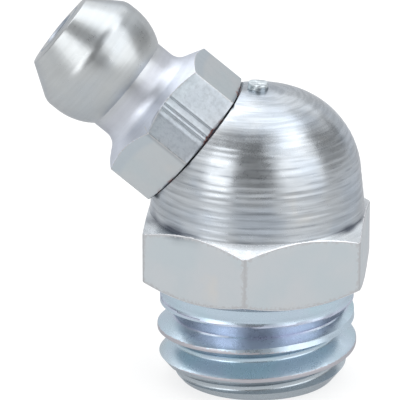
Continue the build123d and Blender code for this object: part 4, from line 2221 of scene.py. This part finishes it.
def body_finishes(effects: Effects, axis: HeadAxis) -> dict[Finish, Material]:
    """Materials of the body's surfaces.

    Args:
        effects: Shared node groups.
        axis: Axis of the nipple head.

    Returns:
        One material for each surface.
    """
    turned = Plating(
        "body_turned_zinc",
        clear=linear(0.475, 0.505, 0.535),
        cool=linear(0.43, 0.475, 0.53),
        warm=linear(0.52, 0.525, 0.52),
        smooth=0.26,
        rough=0.36,
        anisotropy=0.6,
        grain_depth=0.0005,
        broad_depth=0.0012,
        tooth_depth=0.0008,
        streak=0.2,
        rim_width=0.03,
        # Painted shade in the torn lines.
        groove_shade=0.5,
        calm=0.2,
    )
    # The chamfer's plating is lighter than the flats, partly its own turned tone and partly a painted
    # highlight for a brighter reflection.
    chamfer = Plating(
        "body_chamfer_zinc_painted_highlight",
        clear=linear(0.60, 0.63, 0.66),
        cool=linear(0.56, 0.60, 0.64),
        warm=linear(0.62, 0.62, 0.62),
        smooth=0.2,
        rough=0.3,
        grain_depth=0.0006,
        broad_depth=0.0006,
        tooth_depth=0.0006,
        streak=0.12,
        rim_width=0.07,
        bare=linear(0.74, 0.75, 0.78),
    )
    flat = Plating(
        "body_flat_zinc",
        clear=linear(0.52, 0.55, 0.575),
        cool=linear(0.49, 0.54, 0.57),
        warm=linear(0.56, 0.56, 0.555),
        smooth=0.28,
        rough=0.40,
        tooth_depth=0.0022,
        tooth_scale=9.0,
        # The darker band along the rounded corners of the flats is painted shade.
        rim_width=0.22,
        bare=linear(0.47, 0.48, 0.495),
    )
    thread = Plating(
        "thread_blue_zinc",
        clear=linear(0.465, 0.56, 0.645),
        cool=linear(0.44, 0.565, 0.635),
        warm=linear(0.49, 0.54, 0.655),
        smooth=0.24,
        rough=0.36,
        grain_depth=0.0008,
        broad_depth=0.001,
        tooth_depth=0.0004,
        rim_width=0.05,
        bare=linear(0.46, 0.455, 0.49),
        grime_reach=0.001,
    )
    bore = Plating(
        "body_bore_zinc",
        clear=linear(0.40, 0.43, 0.46),
        cool=linear(0.36, 0.41, 0.46),
        warm=linear(0.42, 0.42, 0.41),
        smooth=0.35,
        rough=0.5,
        grain_depth=0.002,
        broad_depth=0.002,
        grime_reach=0.001,
    )
    platings = {
        Finish.TURNED: turned,
        Finish.FLAT: flat,
        Finish.CHAMFER: chamfer,
        Finish.THREAD: thread,
        Finish.BORE: bore,
    }
    return {finish: plating.build(effects, axis) for finish, plating in platings.items()}


def head_plating(axis: HeadAxis) -> partial:
    """Plating whose turning marks follow the head's axis."""
    return partial(Plating, origin=tuple(axis.point(0).tolist()), lean=axis.lean)


def head_finishes(effects: Effects, axis: HeadAxis) -> dict[Finish, Material]:
    """Materials of the nipple head's surfaces.

    Args:
        effects: Shared node groups.
        axis: Axis of the nipple head.

    Returns:
        One material for each surface.
    """
    plating = head_plating(axis)
    turned = plating(
        "head_turned_zinc",
        clear=linear(0.46, 0.48, 0.485),
        cool=linear(0.43, 0.46, 0.48),
        warm=linear(0.485, 0.49, 0.475),
        smooth=0.40,
        rough=0.52,
        calm=0.32,
        run_out=linear(0.53, 0.55, 0.61),
        end_grey=linear(0.65, 0.69, 0.77),
        anisotropy=0.5,
        grazing=linear(0.68, 0.69, 0.71),
        grain_depth=0.0005,
        broad_depth=0.0005,
        tooth_depth=0.0010,
        streak=0.05,
        rim_width=0.03,
    )
    flat = plating(
        "head_flat_zinc",
        clear=linear(0.50, 0.53, 0.55),
        cool=linear(0.475, 0.525, 0.55),
        warm=linear(0.53, 0.53, 0.53),
        smooth=0.28,
        rough=0.42,
        tooth_depth=0.003,
        tooth_scale=8.0,
        rim_width=0.05,
        bare=linear(0.47, 0.48, 0.49),
    )
    drawn = plating(
        "head_drawn_zinc",
        clear=linear(0.47, 0.505, 0.54),
        cool=linear(0.45, 0.495, 0.54),
        warm=linear(0.48, 0.50, 0.52),
        smooth=0.30,
        rough=0.46,
        tooth_depth=0.005,
        tooth_scale=9.0,
        mottle=0.14,
        # Painted shade in the draw marks.
        groove_shade=0.38,
        rim_width=0.09,
        bare=linear(0.42, 0.44, 0.46),
    )
    bore = plating(
        "head_bore_zinc",
        clear=linear(0.34, 0.37, 0.41),
        cool=linear(0.30, 0.35, 0.42),
        warm=linear(0.36, 0.36, 0.36),
        smooth=0.35,
        rough=0.5,
        grain_depth=0.002,
        broad_depth=0.002,
        grime_reach=0.001,
    )
    platings = {Finish.TURNED: turned, Finish.FLAT: flat, Finish.DRAWN: drawn, Finish.BORE: bore}
    return {finish: plate.build(effects, axis) for finish, plate in platings.items()}


def valve_finishes(effects: Effects, axis: HeadAxis) -> tuple[Material, Material]:
    """Materials of the ball and of the spring's wire.

    Args:
        effects: Shared node groups.
        axis: Axis of the nipple head.

    Returns:
        The ball's material and the wire's.
    """
    plating = head_plating(axis)
    ball = plating(
        "ball_steel",
        clear=linear(0.58, 0.59, 0.61),
        cool=linear(0.55, 0.57, 0.60),
        warm=linear(0.60, 0.59, 0.58),
        smooth=0.06,
        rough=0.14,
        tooth_depth=0.0003,
        rim_width=0.001,
        grime_reach=0.001,
    )
    wire = plating(
        "spring_wire",
        clear=linear(0.42, 0.43, 0.45),
        cool=linear(0.38, 0.40, 0.44),
        warm=linear(0.46, 0.44, 0.42),
        smooth=0.22,
        rough=0.36,
        tooth_depth=0.001,
        rim_width=0.001,
        grime_reach=0.001,
    )
    return ball.build(effects, axis), wire.build(effects, axis)


def main() -> None:
    """Build every piece and the studio."""
    logging.basicConfig(level=logging.INFO, format="%(name)s: %(message)s")
    axis = HeadAxis()
    effects = Effects()
    ball_steel, spring_wire = valve_finishes(effects, axis)
    valve = Valve(axis)
    pieces = [
        ElbowBody(axis).build(body_finishes(effects, axis)),
        NippleHead(axis).build(head_finishes(effects, axis)),
        valve.build_ball(ball_steel),
        valve.build_spring(spring_wire),
    ]
    for piece in pieces:
        piece.data.calc_loop_triangles()
        LOG.info("%s: %d triangles", piece.name, len(piece.data.loop_triangles))
    Studio().build()


if __name__ == "__main__":
    main()
